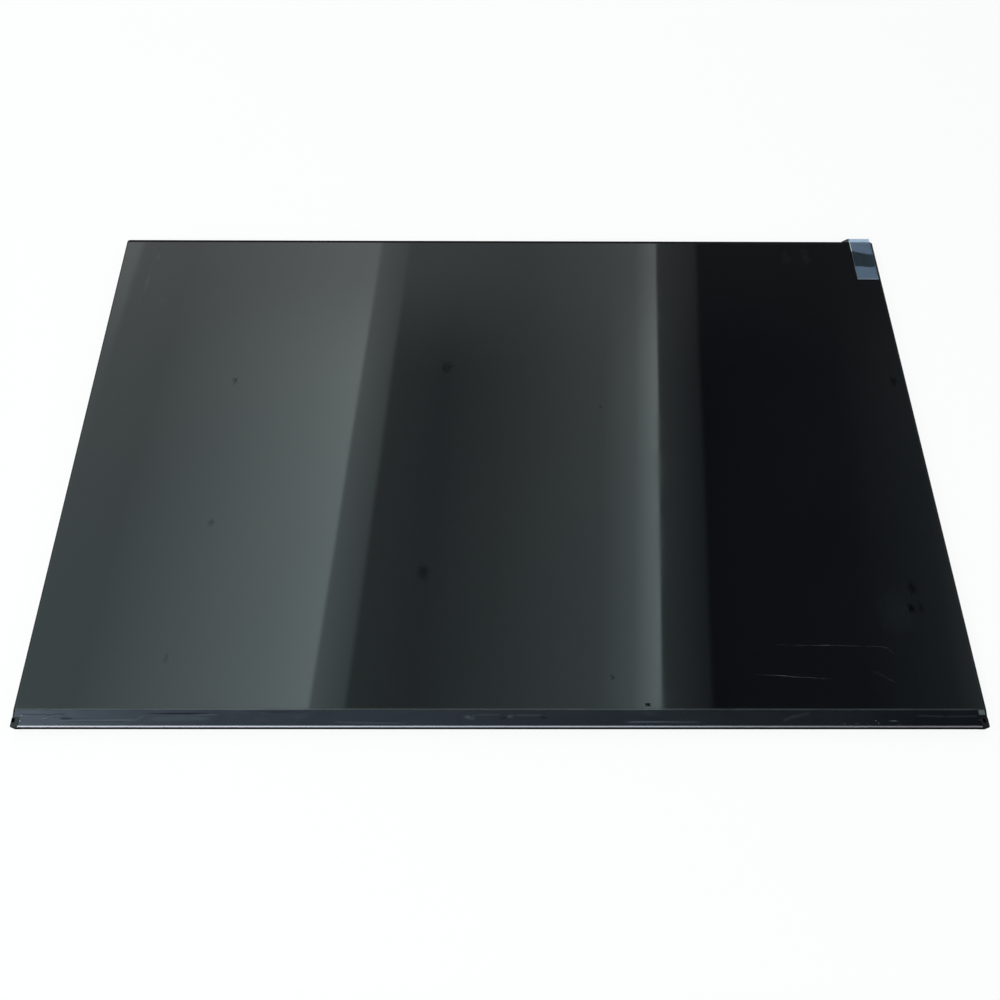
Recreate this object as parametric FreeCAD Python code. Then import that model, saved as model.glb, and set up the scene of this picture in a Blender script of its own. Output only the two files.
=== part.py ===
# LCD screen panel: a 16-inch, 16:10 display module lying on its back with the screen up.
# X runs along the long side, +Y to the picture's upper edge and +Z out of the screen.
# The origin is under the centre of the outline, on the surface that the module lies on.
# Sizes are in millimetres.
import FreeCAD, Part
import math
import os

V = FreeCAD.Vector

# Outline of the module
PANEL_WIDTH = 350.9
PANEL_HEIGHT = 226.9
FAR_CORNER_RADIUS = 1.2

# What the front shows beside the upper glass
SIDE_LIP = 0.45
FAR_LIP = 1.2
GLASS_CLEARANCE = 0.1
DRIVER_STRIP = 6.4
GLASS_LEDGE = 2.75

# Thickness of each layer, from the back to the front
BACK_PLATE_THICKNESS = 0.25
REFLECTOR_THICKNESS = 0.12
LIGHT_GUIDE_THICKNESS = 0.6
DIFFUSER_THICKNESS = 0.12
PRISM_THICKNESS = 0.13
SHEET_GAP = 0.05
SHELF_THICKNESS = 0.4
FRAME_TAPE_THICKNESS = 0.06
REAR_POLARIZER_THICKNESS = 0.12
TFT_GLASS_THICKNESS = 0.25
FILTER_GLASS_THICKNESS = 0.25
FRONT_POLARIZER_THICKNESS = 0.13
PROTECTIVE_FILM_THICKNESS = 0.06

# Moulded frame: the shelf that carries the glass, the near bar and the corner ears
SHELF_SIDE = 2.2
SHELF_FAR = 3.4
SHELF_NEAR = 8.0
LIP_BELOW_GLASS = 0.06
NEAR_BAR_THICKNESS = 0.7
EAR_WIDTH = 2.8
EAR_DEPTH = 3.55
EAR_INSET = 0.15
EAR_NEAR_RADIUS = 0.6
EAR_FAR_RADIUS = 0.2
EAR_SLOT_WIDTH = 1.05
EAR_SLOT_LENGTH = 1.6
EAR_SLOT_WALL = 0.2
EAR_SLOT_SIDE_LEFT = 0.2
EAR_SLOT_SIDE_RIGHT = 0.95
SIDE_NOTCH_DEPTH = 0.3
RIB_WIDTH = 4.0
RIB_END_OFFSET = 12.0

# Folded back plate and its raised field
PLATE_CLEARANCE = 0.05
PLATE_BEND_RADIUS = 0.3
PLATE_FAR_RELIEF = 1.6
FIELD_SIDE = 22.0
FIELD_NEAR = 30.0
FIELD_FAR = 18.0
FIELD_DEPTH = 0.15
FIELD_SLOPE = 1.2
FIELD_CORNER_RADIUS = 9.0

# Backlight layers and the light strip
LAYER_CLEARANCE = 0.1
LIGHT_GUIDE_NEAR = 6.0
LED_LENGTH = 3.0
LED_DEPTH = 0.95
LED_HEIGHT = 0.6
LED_PITCH = 6.4
LED_GAP = 0.05
LED_LENS_INSET = 0.3
LED_LENS_DEPTH = 0.12
LED_LENS_RIM = 0.1
LED_STRIP_THICKNESS = 0.08
LED_STRIP_MARGIN = 1.6
LED_STRIP_OVERLAP = 1.8
LED_STRIP_SIDE = 3.5
LED_TAPE_THICKNESS = 0.05
LED_TAPE_MARGIN = 0.1
LED_TAIL_WIDTH = 8.0
LED_TAIL_X = -71.0
LED_TAIL_CLEARANCE = 0.1

# Layers bonded to the glass
POLARIZER_INSET = 0.5
WINDOW_CLEARANCE = 0.15
FRAME_TAPE_MARGIN = 0.1

# Driver films, which bend round the near edge from the glass ledge to the board
DRIVER_COUNT = 4
DRIVER_PITCH = 86.0
DRIVER_FILM_WIDTH = 38.0
DRIVER_FILM_THICKNESS = 0.05
DRIVER_BOND = 1.2
BOARD_BOND = 2.0
BEND_CLEARANCE = 0.14
DRIVER_CHIP_LENGTH = 20.0
DRIVER_CHIP_DEPTH = 0.9
DRIVER_CHIP_HEIGHT = 0.3
DRIVER_CHIP_TO_BOARD = 0.7

# Near edge: metal rail, its dark edge tape, and the tape and pad on the ledge
RAIL_THICKNESS = 0.15
RAIL_BEND_RADIUS = 0.05
RAIL_FRONT_REACH = 0.57
RAIL_REAR_REACH = 1.5
RAIL_END_CLEARANCE = 0.05
RAIL_FILM_CLEARANCE = 0.02
EDGE_TAPE_THICKNESS = 0.06
COVER_TAPE_THICKNESS = 0.06
COVER_TAPE_GAP = 0.1
COVER_TAPE_RAIL_GAP = 0.12
COVER_TAPE_SIDE = 0.2
LEDGE_PAD_WIDTH = 2.2
LEDGE_PAD_DEPTH = 1.7
LEDGE_PAD_HEIGHT = 0.24
LEDGE_PAD_SIDE = 0.2
LEDGE_PAD_CHAMFER = 0.4
LEDGE_PAD_CORNER_RADIUS = 0.1

# Pull tab of the protective film
TAB_THICKNESS = 0.1
TAB_WIDTH = 9.6
TAB_SIDE = 1.15
TAB_LENGTH = 22.9
TAB_LIFT_START = 14.6
TAB_PEAK = 7.8
TAB_SHOULDER = 1.05
TAB_PEAK_RISE = 1.15
TAB_SHOULDER_RISE = 0.85
TAB_TURN_RISE = 0.1
TAB_OVERHANG = 2.05
TAB_REAR_LENGTH = 6.0
TAB_FLARE = 3.2
TAB_CREASE_RADIUS = 0.5
TAB_TURN_RADIUS = 0.6
TAB_REAR_RADIUS = 1.2

# Driver board on the back
BOARD_END_MARGIN = 4.0
BOARD_DEPTH = 10.0
BOARD_THICKNESS = 0.5
BOARD_NEAR = 4.0
BOARD_CORNER_RADIUS = 1.0
BOARD_HOLE_DIAMETER = 1.2
BOARD_HOLE_INSET = 2.2
BOARD_TAPE_THICKNESS = 0.1
BOARD_TAPE_MARGIN = 1.0

# Signal connector on the board, its mouth facing up the panel
CONNECTOR_X = 86.0
CONNECTOR_WAYS = 30
CONNECTOR_PITCH = 0.5
CONNECTOR_END = 2.2
CONNECTOR_DEPTH = 4.2
CONNECTOR_HEIGHT = 1.0
CONNECTOR_SHELL_THICKNESS = 0.12
CONNECTOR_SETBACK = 1.2
MOUTH_END = 0.7
MOUTH_DEPTH = 2.8
MOUTH_HEIGHT = 0.5
MOUTH_WALL = 0.1
CONTACT_WIDTH = 0.2
CONTACT_THICKNESS = 0.1
CONTACT_TAIL = 0.8
CONTACT_SETBACK = 0.4

# Other components on the board
TIMING_CHIP_X = 0.0
TIMING_CHIP_SIZE = 7.0
TIMING_CHIP_HEIGHT = 0.75
POWER_CHIP_X = -95.0
POWER_CHIP_SIZE = 4.0
BACKLIGHT_CHIP_X = -80.0
BACKLIGHT_CHIP_SIZE = 3.0
MEMORY_CHIP_X = 11.5
MEMORY_CHIP_SIZE = 3.0
SMALL_CHIP_HEIGHT = 0.6
CHIP_CHAMFER = 0.08
INDUCTOR_XS = (-102.5, -87.5)
INDUCTOR_SIZE = 3.0
INDUCTOR_CORNER_RADIUS = 0.8
INDUCTOR_BASE_HEIGHT = 0.25
INDUCTOR_BASE_STEP = 0.2
CAPACITOR_LENGTH = 1.6
CAPACITOR_WIDTH = 0.8
CAPACITOR_HEIGHT = 0.7
CAPACITOR_CAP = 0.3
CAPACITOR_STEP = 0.03
CAPACITOR_FIRST_X = -140.0
CAPACITOR_PITCH = 14.0
CAPACITOR_FROM_FAR_EDGE = 1.2
RESISTOR_LENGTH = 1.0
RESISTOR_WIDTH = 0.5
RESISTOR_HEIGHT = 0.35
RESISTOR_CAP = 0.2
RESISTOR_STEP = 0.02

# Levels above the surface that the module lies on
BOARD_REAR = CONNECTOR_HEIGHT
BOARD_FRONT = BOARD_REAR + BOARD_THICKNESS
PLATE_REAR = BOARD_FRONT + BOARD_TAPE_THICKNESS
PLATE_FRONT = PLATE_REAR + BACK_PLATE_THICKNESS
REFLECTOR_FRONT = PLATE_FRONT + REFLECTOR_THICKNESS
GUIDE_FRONT = REFLECTOR_FRONT + LIGHT_GUIDE_THICKNESS
DIFFUSER_FRONT = GUIDE_FRONT + DIFFUSER_THICKNESS
LOWER_PRISM_FRONT = DIFFUSER_FRONT + PRISM_THICKNESS
UPPER_PRISM_FRONT = LOWER_PRISM_FRONT + PRISM_THICKNESS
SHELF_REAR = UPPER_PRISM_FRONT + SHEET_GAP
SHELF_FRONT = SHELF_REAR + SHELF_THICKNESS
TFT_REAR = SHELF_FRONT + FRAME_TAPE_THICKNESS
TFT_FRONT = TFT_REAR + TFT_GLASS_THICKNESS
FILTER_FRONT = TFT_FRONT + FILTER_GLASS_THICKNESS
POLARIZER_FRONT = FILTER_FRONT + FRONT_POLARIZER_THICKNESS
FILM_FRONT = POLARIZER_FRONT + PROTECTIVE_FILM_THICKNESS
LIP_FRONT = FILTER_FRONT - LIP_BELOW_GLASS
LED_STRIP_REAR = GUIDE_FRONT + LED_TAPE_THICKNESS
DRIVER_FILM_FRONT = TFT_FRONT + DRIVER_FILM_THICKNESS
RAIL_FRONT = DRIVER_FILM_FRONT + RAIL_FILM_CLEARANCE + RAIL_THICKNESS
RAIL_REAR = BOARD_REAR - DRIVER_FILM_THICKNESS - RAIL_FILM_CLEARANCE - RAIL_THICKNESS

# Distances from the edges of the outline that several pieces share
GLASS_SIDE = SIDE_LIP + GLASS_CLEARANCE
GLASS_FAR = FAR_LIP + GLASS_CLEARANCE
LEDGE_NEAR = DRIVER_STRIP - GLASS_LEDGE
RAIL_INNER = EDGE_TAPE_THICKNESS + RAIL_THICKNESS
RAIL_TIP = EDGE_TAPE_THICKNESS + RAIL_FRONT_REACH
DRIVER_BEND_RADIUS = (DRIVER_FILM_FRONT - BOARD_REAR) / 2
BEND_CENTRE = RAIL_INNER + BEND_CLEARANCE + DRIVER_FILM_THICKNESS / 2 + DRIVER_BEND_RADIUS
NEAR_BAR_OUTER = BEND_CENTRE + BEND_CLEARANCE
NEAR_BAR_INNER = NEAR_BAR_OUTER + NEAR_BAR_THICKNESS
PLATE_SIDE = SIDE_LIP + PLATE_CLEARANCE
PLATE_NEAR = NEAR_BAR_INNER + PLATE_CLEARANCE
PLATE_FAR = FAR_LIP + PLATE_CLEARANCE
LAYER_INSET = BACK_PLATE_THICKNESS + PLATE_BEND_RADIUS + LAYER_CLEARANCE
LAYER_SIDE = PLATE_SIDE + LAYER_INSET
LAYER_FAR = PLATE_FAR + LAYER_INSET
LED_FRONT = LIGHT_GUIDE_NEAR - LED_GAP
LED_STRIP_NEAR = LED_FRONT - LED_DEPTH - LED_STRIP_MARGIN
LED_STRIP_FAR = LIGHT_GUIDE_NEAR + LED_STRIP_OVERLAP
OPTICAL_NEAR = LED_STRIP_FAR + LED_TAPE_MARGIN
BOARD_FAR = BOARD_NEAR + BOARD_DEPTH
COVER_TAPE_NEAR = RAIL_TIP + COVER_TAPE_RAIL_GAP
DRIVER_XS = [(i - (DRIVER_COUNT - 1) / 2) * DRIVER_PITCH for i in range(DRIVER_COUNT)]
BOARD_LENGTH = DRIVER_XS[-1] - DRIVER_XS[0] + DRIVER_FILM_WIDTH + 2 * BOARD_END_MARGIN


def from_side(distance):
    """X of a line this far inside the right-hand edge of the outline."""
    return PANEL_WIDTH / 2 - distance


def from_near(distance):
    """Y of a line this far inside the near edge of the outline."""
    return distance - PANEL_HEIGHT / 2


def from_far(distance):
    """Y of a line this far inside the far edge of the outline."""
    return PANEL_HEIGHT / 2 - distance


def block(x, y, z):
    """A block between two limits along each axis."""
    size = [limits[1] - limits[0] for limits in (x, y, z)]
    return Part.makeBox(*size, V(x[0], y[0], z[0]))


def centred(middle, size):
    """The two limits of a stretch of this size about its middle."""
    return middle - size / 2, middle + size / 2


def across(side):
    """The two limits of a stretch that ends this far inside both side edges."""
    return -from_side(side), from_side(side)


def layer(side, near, far, rear, thickness):
    """A flat sheet, placed by its distance from the sides, near edge and far edge of the outline."""
    return block(across(side), (from_near(near), from_far(far)), (rear, rear + thickness))


def edges_along(shape, axis, keep=lambda middle: True):
    """The straight edges of a shape that run along an axis and whose middle passes a test."""
    found = []
    for edge in shape.Edges:
        ends = [vertex.Point for vertex in edge.Vertexes]
        if len(ends) == 2 and abs((ends[1] - ends[0]).normalize().dot(axis)) > 0.999:
            if keep((ends[0] + ends[1]) * 0.5):
                found.append(edge)
    return found


def upright_rounded(shape, radius, keep=lambda middle: True):
    """A shape with its upright edges rounded."""
    return shape.makeFillet(radius, edges_along(shape, V(0, 0, 1), keep))


def one_solid(shape):
    """A fused shape as one clean solid."""
    return shape.removeSplitter().Solids[0]


def station(start, size, turn, share):
    """Where a leg of a bent strip has got to: a straight run of this size, or an arc of this radius."""
    y, z, heading = start
    if not turn:
        return y + size * share * math.cos(heading), z + size * share * math.sin(heading), heading
    side = math.copysign(size, turn)
    onward = heading + math.radians(turn) * share
    return (
        y + side * (math.sin(onward) - math.sin(heading)),
        z - side * (math.cos(onward) - math.cos(heading)),
        onward,
    )


def bent_strip(start, legs, thickness, x):
    """A sheet of even thickness whose middle line, seen along X, is straight runs and arcs.

    start is (y, z, heading in degrees). A leg is (length, 0) or (radius, turn in degrees).
    """
    here = (start[0], start[1], math.radians(start[2]))
    sides = {1: [], -1: []}
    for size, turn in legs:
        stops = [station(here, size, turn, share) for share in (0, 0.5, 1)]
        for side, edges in sides.items():
            offset = side * thickness / 2
            points = [V(x[0], y - offset * math.sin(h), z + offset * math.cos(h)) for y, z, h in stops]
            curve = Part.Arc(*points) if turn else Part.LineSegment(points[0], points[2])
            edges.append((curve.toShape(), points[0], points[2]))
        here = stops[-1]
    caps = [Part.LineSegment(sides[1][end][1 + end % 2], sides[-1][end][1 + end % 2]) for end in (0, -1)]
    edges = [edge for side in sides.values() for edge, _, _ in side] + [cap.toShape() for cap in caps]
    face = Part.Face(Part.Wire(Part.__sortEdges__(edges)))
    return face.extrude(V(x[1] - x[0], 0, 0))


def legs_through(corners, radii):
    """A bent strip's start and legs along (y, z) corners, each inner corner rounded by its radius."""
    headings = [math.atan2(end[1] - start[1], end[0] - start[0]) for start, end in zip(corners, corners[1:])]
    turns = [math.remainder(after - before, math.tau) for before, after in zip(headings, headings[1:])]
    setbacks = [0] + [radius * math.tan(abs(turn) / 2) for radius, turn in zip(radii, turns)] + [0]
    legs = []
    for i, (start, end) in enumerate(zip(corners, corners[1:])):
        legs.append((math.dist(start, end) - setbacks[i] - setbacks[i + 1], 0))
        if i < len(turns):
            legs.append((radii[i], math.degrees(turns[i])))
    return (*corners[0], math.degrees(headings[0])), legs


def strip_end(start, legs):
    """Where a bent strip's middle line ends and its heading there, as another strip's start."""
    here = (start[0], start[1], math.radians(start[2]))
    for size, turn in legs:
        here = station(here, size, turn, 1)
    return here[0], here[1], math.degrees(here[2])


def profile_along_x(corners, x):
    """A straight-sided profile, given as Y and Z of its corners, drawn out along X."""
    wire = Part.makePolygon([V(x[0], y, z) for y, z in corners + corners[:1]])
    return Part.Face(wire).extrude(V(x[1] - x[0], 0, 0))


def rounded_outline(x, y, z, radius):
    """A flat rounded rectangle as a wire."""
    plate = upright_rounded(block(x, y, (z, z + 1)), radius)
    return min(plate.Faces, key=lambda face: face.CenterOfMass.z).OuterWire


# Glass and the layers bonded to it


def colour_filter_glass():
    return layer(GLASS_SIDE, DRIVER_STRIP, GLASS_FAR, TFT_FRONT, FILTER_GLASS_THICKNESS)


def tft_glass():
    return layer(GLASS_SIDE, LEDGE_NEAR, GLASS_FAR, TFT_REAR, TFT_GLASS_THICKNESS)


def bonded_front_layer(rear, thickness):
    """A layer on the upper glass, set in from its edges."""
    inset = POLARIZER_INSET
    return layer(GLASS_SIDE + inset, DRIVER_STRIP + inset, GLASS_FAR + inset, rear, thickness)


def rear_polarizer():
    """The layer under the lower glass, inside the window of the frame's shelf."""
    inset = WINDOW_CLEARANCE
    rear = TFT_REAR - REAR_POLARIZER_THICKNESS
    return layer(
        SHELF_SIDE + inset, SHELF_NEAR + inset, SHELF_FAR + inset, rear, REAR_POLARIZER_THICKNESS
    )


def frame_tape():
    """The ring of double-sided tape between the shelf and the lower glass."""
    margin = FRAME_TAPE_MARGIN
    ring = layer(GLASS_SIDE + margin, LEDGE_NEAR + margin, GLASS_FAR + margin, SHELF_FRONT,
                 FRAME_TAPE_THICKNESS)
    return ring.cut(layer(SHELF_SIDE, SHELF_NEAR, SHELF_FAR, SHELF_FRONT, FRAME_TAPE_THICKNESS))


def pull_tab():
    """A film strip that lies on the screen, lifts to two creases and turns over the far edge to the back."""
    right = from_side(TAB_SIDE)
    front_x = (right - TAB_WIDTH, right)
    rear_x = (right - TAB_WIDTH - TAB_FLARE, right)
    half = TAB_THICKNESS / 2
    bed = FILM_FRONT + half
    rear = PLATE_REAR - half
    outer = from_far(half - TAB_OVERHANG)
    lying = [(from_far(TAB_LENGTH), bed), (from_far(TAB_LIFT_START), bed)]
    creases = [(from_far(TAB_PEAK), bed + TAB_PEAK_RISE), (from_far(TAB_SHOULDER), bed + TAB_SHOULDER_RISE)]
    turned = [(outer, bed + TAB_TURN_RISE), (outer, rear), (from_far(TAB_REAR_LENGTH), rear)]
    radii = [TAB_CREASE_RADIUS] * 3 + [TAB_TURN_RADIUS, TAB_REAR_RADIUS]
    start, legs = legs_through(lying + creases + turned, radii)
    to_turn = 2 * len(lying + creases) - 1
    turn_start = strip_end(start, legs[:to_turn])
    front = bent_strip(start, legs[:to_turn], TAB_THICKNESS, front_x)
    turned_over = bent_strip(turn_start, legs[to_turn:], TAB_THICKNESS, rear_x)
    return one_solid(front.fuse(turned_over.cut(flare_trim(rear_x, front_x, turn_start[1] + half))))


def flare_trim(rear_x, front_x, top):
    """What is cut from the turned part of the tab, so that it widens from the turn to the back."""
    corners = [(rear_x[0], top), (front_x[0], top), (rear_x[0], PLATE_REAR)]
    wire = Part.makePolygon([V(x, from_far(TAB_LENGTH), z) for x, z in corners + corners[:1]])
    return Part.Face(wire).extrude(V(0, TAB_LENGTH + 2 * TAB_OVERHANG, 0))


# Moulded frame


def moulded_frame():
    """The plastic frame: lips, glass shelf, near bar with ribs, and the two slotted ears."""
    upright = (PLATE_REAR, LIP_FRONT)
    body = block(across(0), (from_near(NEAR_BAR_OUTER), from_far(0)), upright)
    body = upright_rounded(body, FAR_CORNER_RADIUS, lambda middle: middle.y > 0)
    outside = from_near(0)
    glass_pocket = block(across(SIDE_LIP), (outside, from_far(FAR_LIP)), (SHELF_FRONT, LIP_FRONT))
    light_pocket = block(
        across(SIDE_LIP), (from_near(NEAR_BAR_INNER), from_far(FAR_LIP)), (PLATE_REAR, SHELF_REAR)
    )
    window = block(across(SHELF_SIDE), (from_near(SHELF_NEAR), from_far(SHELF_FAR)), upright)
    frame = body.cut(glass_pocket).cut(light_pocket).cut(window)
    for side in (1, -1):
        frame = frame.cut(side_notch(side)).fuse(ear(side))
    for x in rib_places():
        frame = frame.fuse(rib(x))
    return one_solid(frame.cut(tail_notch()))


def mirrored(side, x):
    """Two X limits on the right-hand side, or their mirror image on the left."""
    return tuple(sorted(side * value for value in x))


def side_notch(side):
    """What is cut from the frame for an ear, and the taper of its side up to the upper glass."""
    corners = [
        (0, NEAR_BAR_OUTER),
        (0, DRIVER_STRIP),
        (SIDE_NOTCH_DEPTH, EAR_DEPTH),
        (EAR_WIDTH, EAR_DEPTH),
        (EAR_WIDTH, NEAR_BAR_OUTER),
    ]
    points = [V(side * from_side(x), from_near(y), PLATE_REAR) for x, y in corners + corners[:1]]
    return Part.Face(Part.makePolygon(points)).extrude(V(0, 0, LIP_FRONT - PLATE_REAR))


def ear(side):
    """A corner ear as thick as the rail that ends beside it, rounded outside, with its upright slot."""
    outer = from_side(EAR_INSET)
    x = mirrored(side, (from_side(EAR_WIDTH), outer))
    z = (RAIL_REAR, RAIL_FRONT)
    shape = block(x, (from_near(0), from_near(EAR_DEPTH)), z)
    half_way = from_near(EAR_DEPTH / 2)
    for radius, near in ((EAR_NEAR_RADIUS, True), (EAR_FAR_RADIUS, False)):
        shape = upright_rounded(
            shape, radius,
            lambda middle: abs(middle.x - side * outer) < 0.01 and (middle.y < half_way) == near,
        )
    slot_outer = outer - (EAR_SLOT_SIDE_RIGHT if side > 0 else EAR_SLOT_SIDE_LEFT)
    slot_far = EAR_DEPTH - EAR_SLOT_WALL
    slot_y = (from_near(slot_far - EAR_SLOT_LENGTH), from_near(slot_far))
    slot = block(mirrored(side, (slot_outer - EAR_SLOT_WIDTH, slot_outer)), slot_y, z)
    return shape.cut(upright_rounded(slot, EAR_SLOT_WIDTH / 4))


def rib_places():
    """Ribs stand between the driver films and beyond the outer ones."""
    between = [(a + b) / 2 for a, b in zip(DRIVER_XS, DRIVER_XS[1:])]
    end = DRIVER_XS[-1] + DRIVER_FILM_WIDTH / 2 + RIB_END_OFFSET
    return [-end] + between + [end]


def rib(x):
    """A rib on the near bar that the metal rail clips over, chamfered to clear the rail's bend."""
    top = RAIL_FRONT - RAIL_THICKNESS
    corners = [
        (RAIL_INNER, PLATE_REAR),
        (NEAR_BAR_OUTER, PLATE_REAR),
        (NEAR_BAR_OUTER, SHELF_FRONT),
        (RAIL_TIP, SHELF_FRONT),
        (RAIL_TIP, top),
        (RAIL_INNER + RAIL_BEND_RADIUS, top),
        (RAIL_INNER, top - RAIL_BEND_RADIUS),
    ]
    return profile_along_x([(from_near(y), z) for y, z in corners], centred(x, RIB_WIDTH))


def tail_notch():
    """The way through the near bar for the tail of the light strip."""
    clear = LED_TAIL_CLEARANCE
    return block(
        centred(LED_TAIL_X, LED_TAIL_WIDTH + 2 * clear),
        (from_near(NEAR_BAR_OUTER), from_near(NEAR_BAR_INNER)),
        (LED_STRIP_REAR - clear, LED_STRIP_REAR + LED_STRIP_THICKNESS + clear),
    )


# Back plate and backlight


def back_plate():
    """A sheet folded up on its four sides, cut away at the ears and the far corners."""
    wall = BACK_PLATE_THICKNESS
    x = across(PLATE_SIDE)
    y = (from_near(PLATE_NEAR), from_far(PLATE_FAR))
    outer = folded_tray(x, y, (PLATE_REAR, GUIDE_FRONT), PLATE_BEND_RADIUS + wall)
    inner_x = (x[0] + wall, x[1] - wall)
    inner_y = (y[0] + wall, y[1] - wall)
    plate = outer.cut(folded_tray(inner_x, inner_y, (PLATE_FRONT, GUIDE_FRONT), PLATE_BEND_RADIUS))
    near_x = (from_side(EAR_WIDTH + PLATE_CLEARANCE), x[1])
    near_y = (y[0], from_near(EAR_DEPTH + PLATE_CLEARANCE))
    far_x = (x[1] - PLATE_FAR_RELIEF, x[1])
    far_y = (y[1] - PLATE_FAR_RELIEF, y[1])
    for side in (1, -1):
        for corner_x, corner_y in ((near_x, near_y), (far_x, far_y)):
            plate = plate.cut(block(mirrored(side, corner_x), corner_y, (PLATE_REAR, GUIDE_FRONT)))
    return one_solid(plate.fuse(raised_field(PLATE_REAR)).cut(raised_field(PLATE_FRONT)))


def folded_tray(x, y, z, radius):
    """A block with its four lower edges rounded, as bends leave them."""
    shape = block(x, y, z)
    lower = [edge for edge in shape.Edges if all(abs(v.Point.z - z[0]) < 1e-6 for v in edge.Vertexes)]
    return shape.makeFillet(radius, lower)


def raised_field(level):
    """The shallow pressed field behind the picture, from this level backwards."""
    wires = []
    for slope, depth in ((0, 0), (FIELD_SLOPE, FIELD_DEPTH)):
        x = across(FIELD_SIDE + slope)
        y = (from_near(FIELD_NEAR + slope), from_far(FIELD_FAR + slope))
        wires.append(rounded_outline(x, y, level - depth, FIELD_CORNER_RADIUS - slope))
    return Part.makeLoft(wires, True, True)


def optical_sheet(rear, thickness):
    """One of the sheets over the light guide."""
    return layer(LAYER_SIDE, OPTICAL_NEAR, LAYER_FAR, rear, thickness)


def led_places():
    """The lamps stand at an even pitch along the strip."""
    room = PANEL_WIDTH - 2 * (LED_STRIP_SIDE + LED_LENGTH)
    count = int(room // LED_PITCH) + 1
    return [(i - (count - 1) / 2) * LED_PITCH for i in range(count)]


def led(x):
    """A side-shining lamp with a recessed lens facing the light guide."""
    y = (from_near(LED_FRONT - LED_DEPTH), from_near(LED_FRONT))
    z = (LED_STRIP_REAR - LED_HEIGHT, LED_STRIP_REAR)
    body = block(centred(x, LED_LENGTH), y, z)
    lens = block(
        centred(x, LED_LENGTH - 2 * LED_LENS_INSET),
        (y[1] - LED_LENS_DEPTH, y[1]),
        (z[0] + LED_LENS_RIM, z[1] - LED_LENS_RIM),
    )
    return body.cut(lens)


def led_strip():
    """The flexible strip behind the near shelf, with the tail that bends back to the board."""
    half = LED_STRIP_THICKNESS / 2
    middle = LED_STRIP_REAR + half
    strip = block(
        across(LED_STRIP_SIDE),
        (from_near(LED_STRIP_NEAR), from_near(LED_STRIP_FAR)),
        (LED_STRIP_REAR, LED_STRIP_REAR + LED_STRIP_THICKNESS),
    )
    radius = (middle - BOARD_REAR + half) / 2
    legs = [(LED_STRIP_NEAR - BEND_CENTRE, 0), (radius, 180), (BOARD_NEAR + BOARD_BOND - BEND_CENTRE, 0)]
    tail_x = centred(LED_TAIL_X, LED_TAIL_WIDTH)
    tail = bent_strip((from_near(LED_STRIP_NEAR), middle, 180), legs, LED_STRIP_THICKNESS, tail_x)
    return one_solid(strip.fuse(tail))


def led_strip_tape():
    """The tape that holds the strip to the light guide's near edge."""
    margin = LED_TAPE_MARGIN
    return block(
        across(LED_STRIP_SIDE + margin),
        (from_near(LIGHT_GUIDE_NEAR + margin), from_near(LED_STRIP_FAR - margin)),
        (GUIDE_FRONT, LED_STRIP_REAR),
    )


# Near edge


def driver_film(x):
    """A film bonded to the glass ledge, bent round the near edge and bonded to the board."""
    half = DRIVER_FILM_THICKNESS / 2
    start = LEDGE_NEAR + DRIVER_BOND
    legs = [
        (start - BEND_CENTRE, 0),
        (DRIVER_BEND_RADIUS, 180),
        (BOARD_NEAR + BOARD_BOND - BEND_CENTRE, 0),
    ]
    return bent_strip(
        (from_near(start), TFT_FRONT + half, 180), legs, DRIVER_FILM_THICKNESS,
        centred(x, DRIVER_FILM_WIDTH),
    )


def driver_chip(x):
    """The slim chip on the back of a driver film, between the rail and the board."""
    far = from_near(BOARD_NEAR - DRIVER_CHIP_TO_BOARD)
    front = BOARD_REAR - DRIVER_FILM_THICKNESS
    return block(
        centred(x, DRIVER_CHIP_LENGTH), (far - DRIVER_CHIP_DEPTH, far), (front - DRIVER_CHIP_HEIGHT, front)
    )


def rail_reach():
    """The rail runs between the two ears."""
    return across(EAR_WIDTH + RAIL_END_CLEARANCE)


def bottom_rail():
    """A thin metal channel that covers the bends of the driver films."""
    radius = RAIL_BEND_RADIUS + RAIL_THICKNESS / 2
    outer_bend = RAIL_BEND_RADIUS + RAIL_THICKNESS
    legs = [
        (RAIL_FRONT_REACH - outer_bend, 0),
        (radius, 90),
        (RAIL_FRONT - RAIL_REAR - 2 * outer_bend, 0),
        (radius, 90),
        (RAIL_REAR_REACH - outer_bend, 0),
    ]
    start = (from_near(RAIL_TIP), RAIL_FRONT - RAIL_THICKNESS / 2, 180)
    return bent_strip(start, legs, RAIL_THICKNESS, rail_reach())


def edge_tape():
    """The dark tape along the flat of the rail's outer face."""
    bend = RAIL_BEND_RADIUS + RAIL_THICKNESS
    return block(
        rail_reach(), (from_near(0), from_near(EDGE_TAPE_THICKNESS)), (RAIL_REAR + bend, RAIL_FRONT - bend)
    )


def ledge_cover_tape():
    """The tape over the ledge and the driver films, with one corner cut out for the pad."""
    z = (DRIVER_FILM_FRONT, DRIVER_FILM_FRONT + COVER_TAPE_THICKNESS)
    far = from_near(DRIVER_STRIP - COVER_TAPE_GAP)
    ear_far = from_near(EAR_DEPTH + COVER_TAPE_GAP)
    between_ears = block(across(EAR_WIDTH + COVER_TAPE_GAP), (from_near(COVER_TAPE_NEAR), far), z)
    on_ledge = block(across(GLASS_SIDE + COVER_TAPE_SIDE), (ear_far, far), z)
    pad_x, pad_y = ledge_pad_place()
    gap = COVER_TAPE_GAP
    corner = block((pad_x[0] - gap, from_side(0)), (pad_y[0] - gap, far), z)
    return one_solid(between_ears.fuse(on_ledge).cut(corner))


def ledge_pad_place():
    """X and Y limits of the pad at the right-hand end of the ledge."""
    right = from_side(GLASS_SIDE + LEDGE_PAD_SIDE)
    far = from_near(DRIVER_STRIP - COVER_TAPE_GAP)
    return (right - LEDGE_PAD_WIDTH, right), (far - LEDGE_PAD_DEPTH, far)


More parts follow.
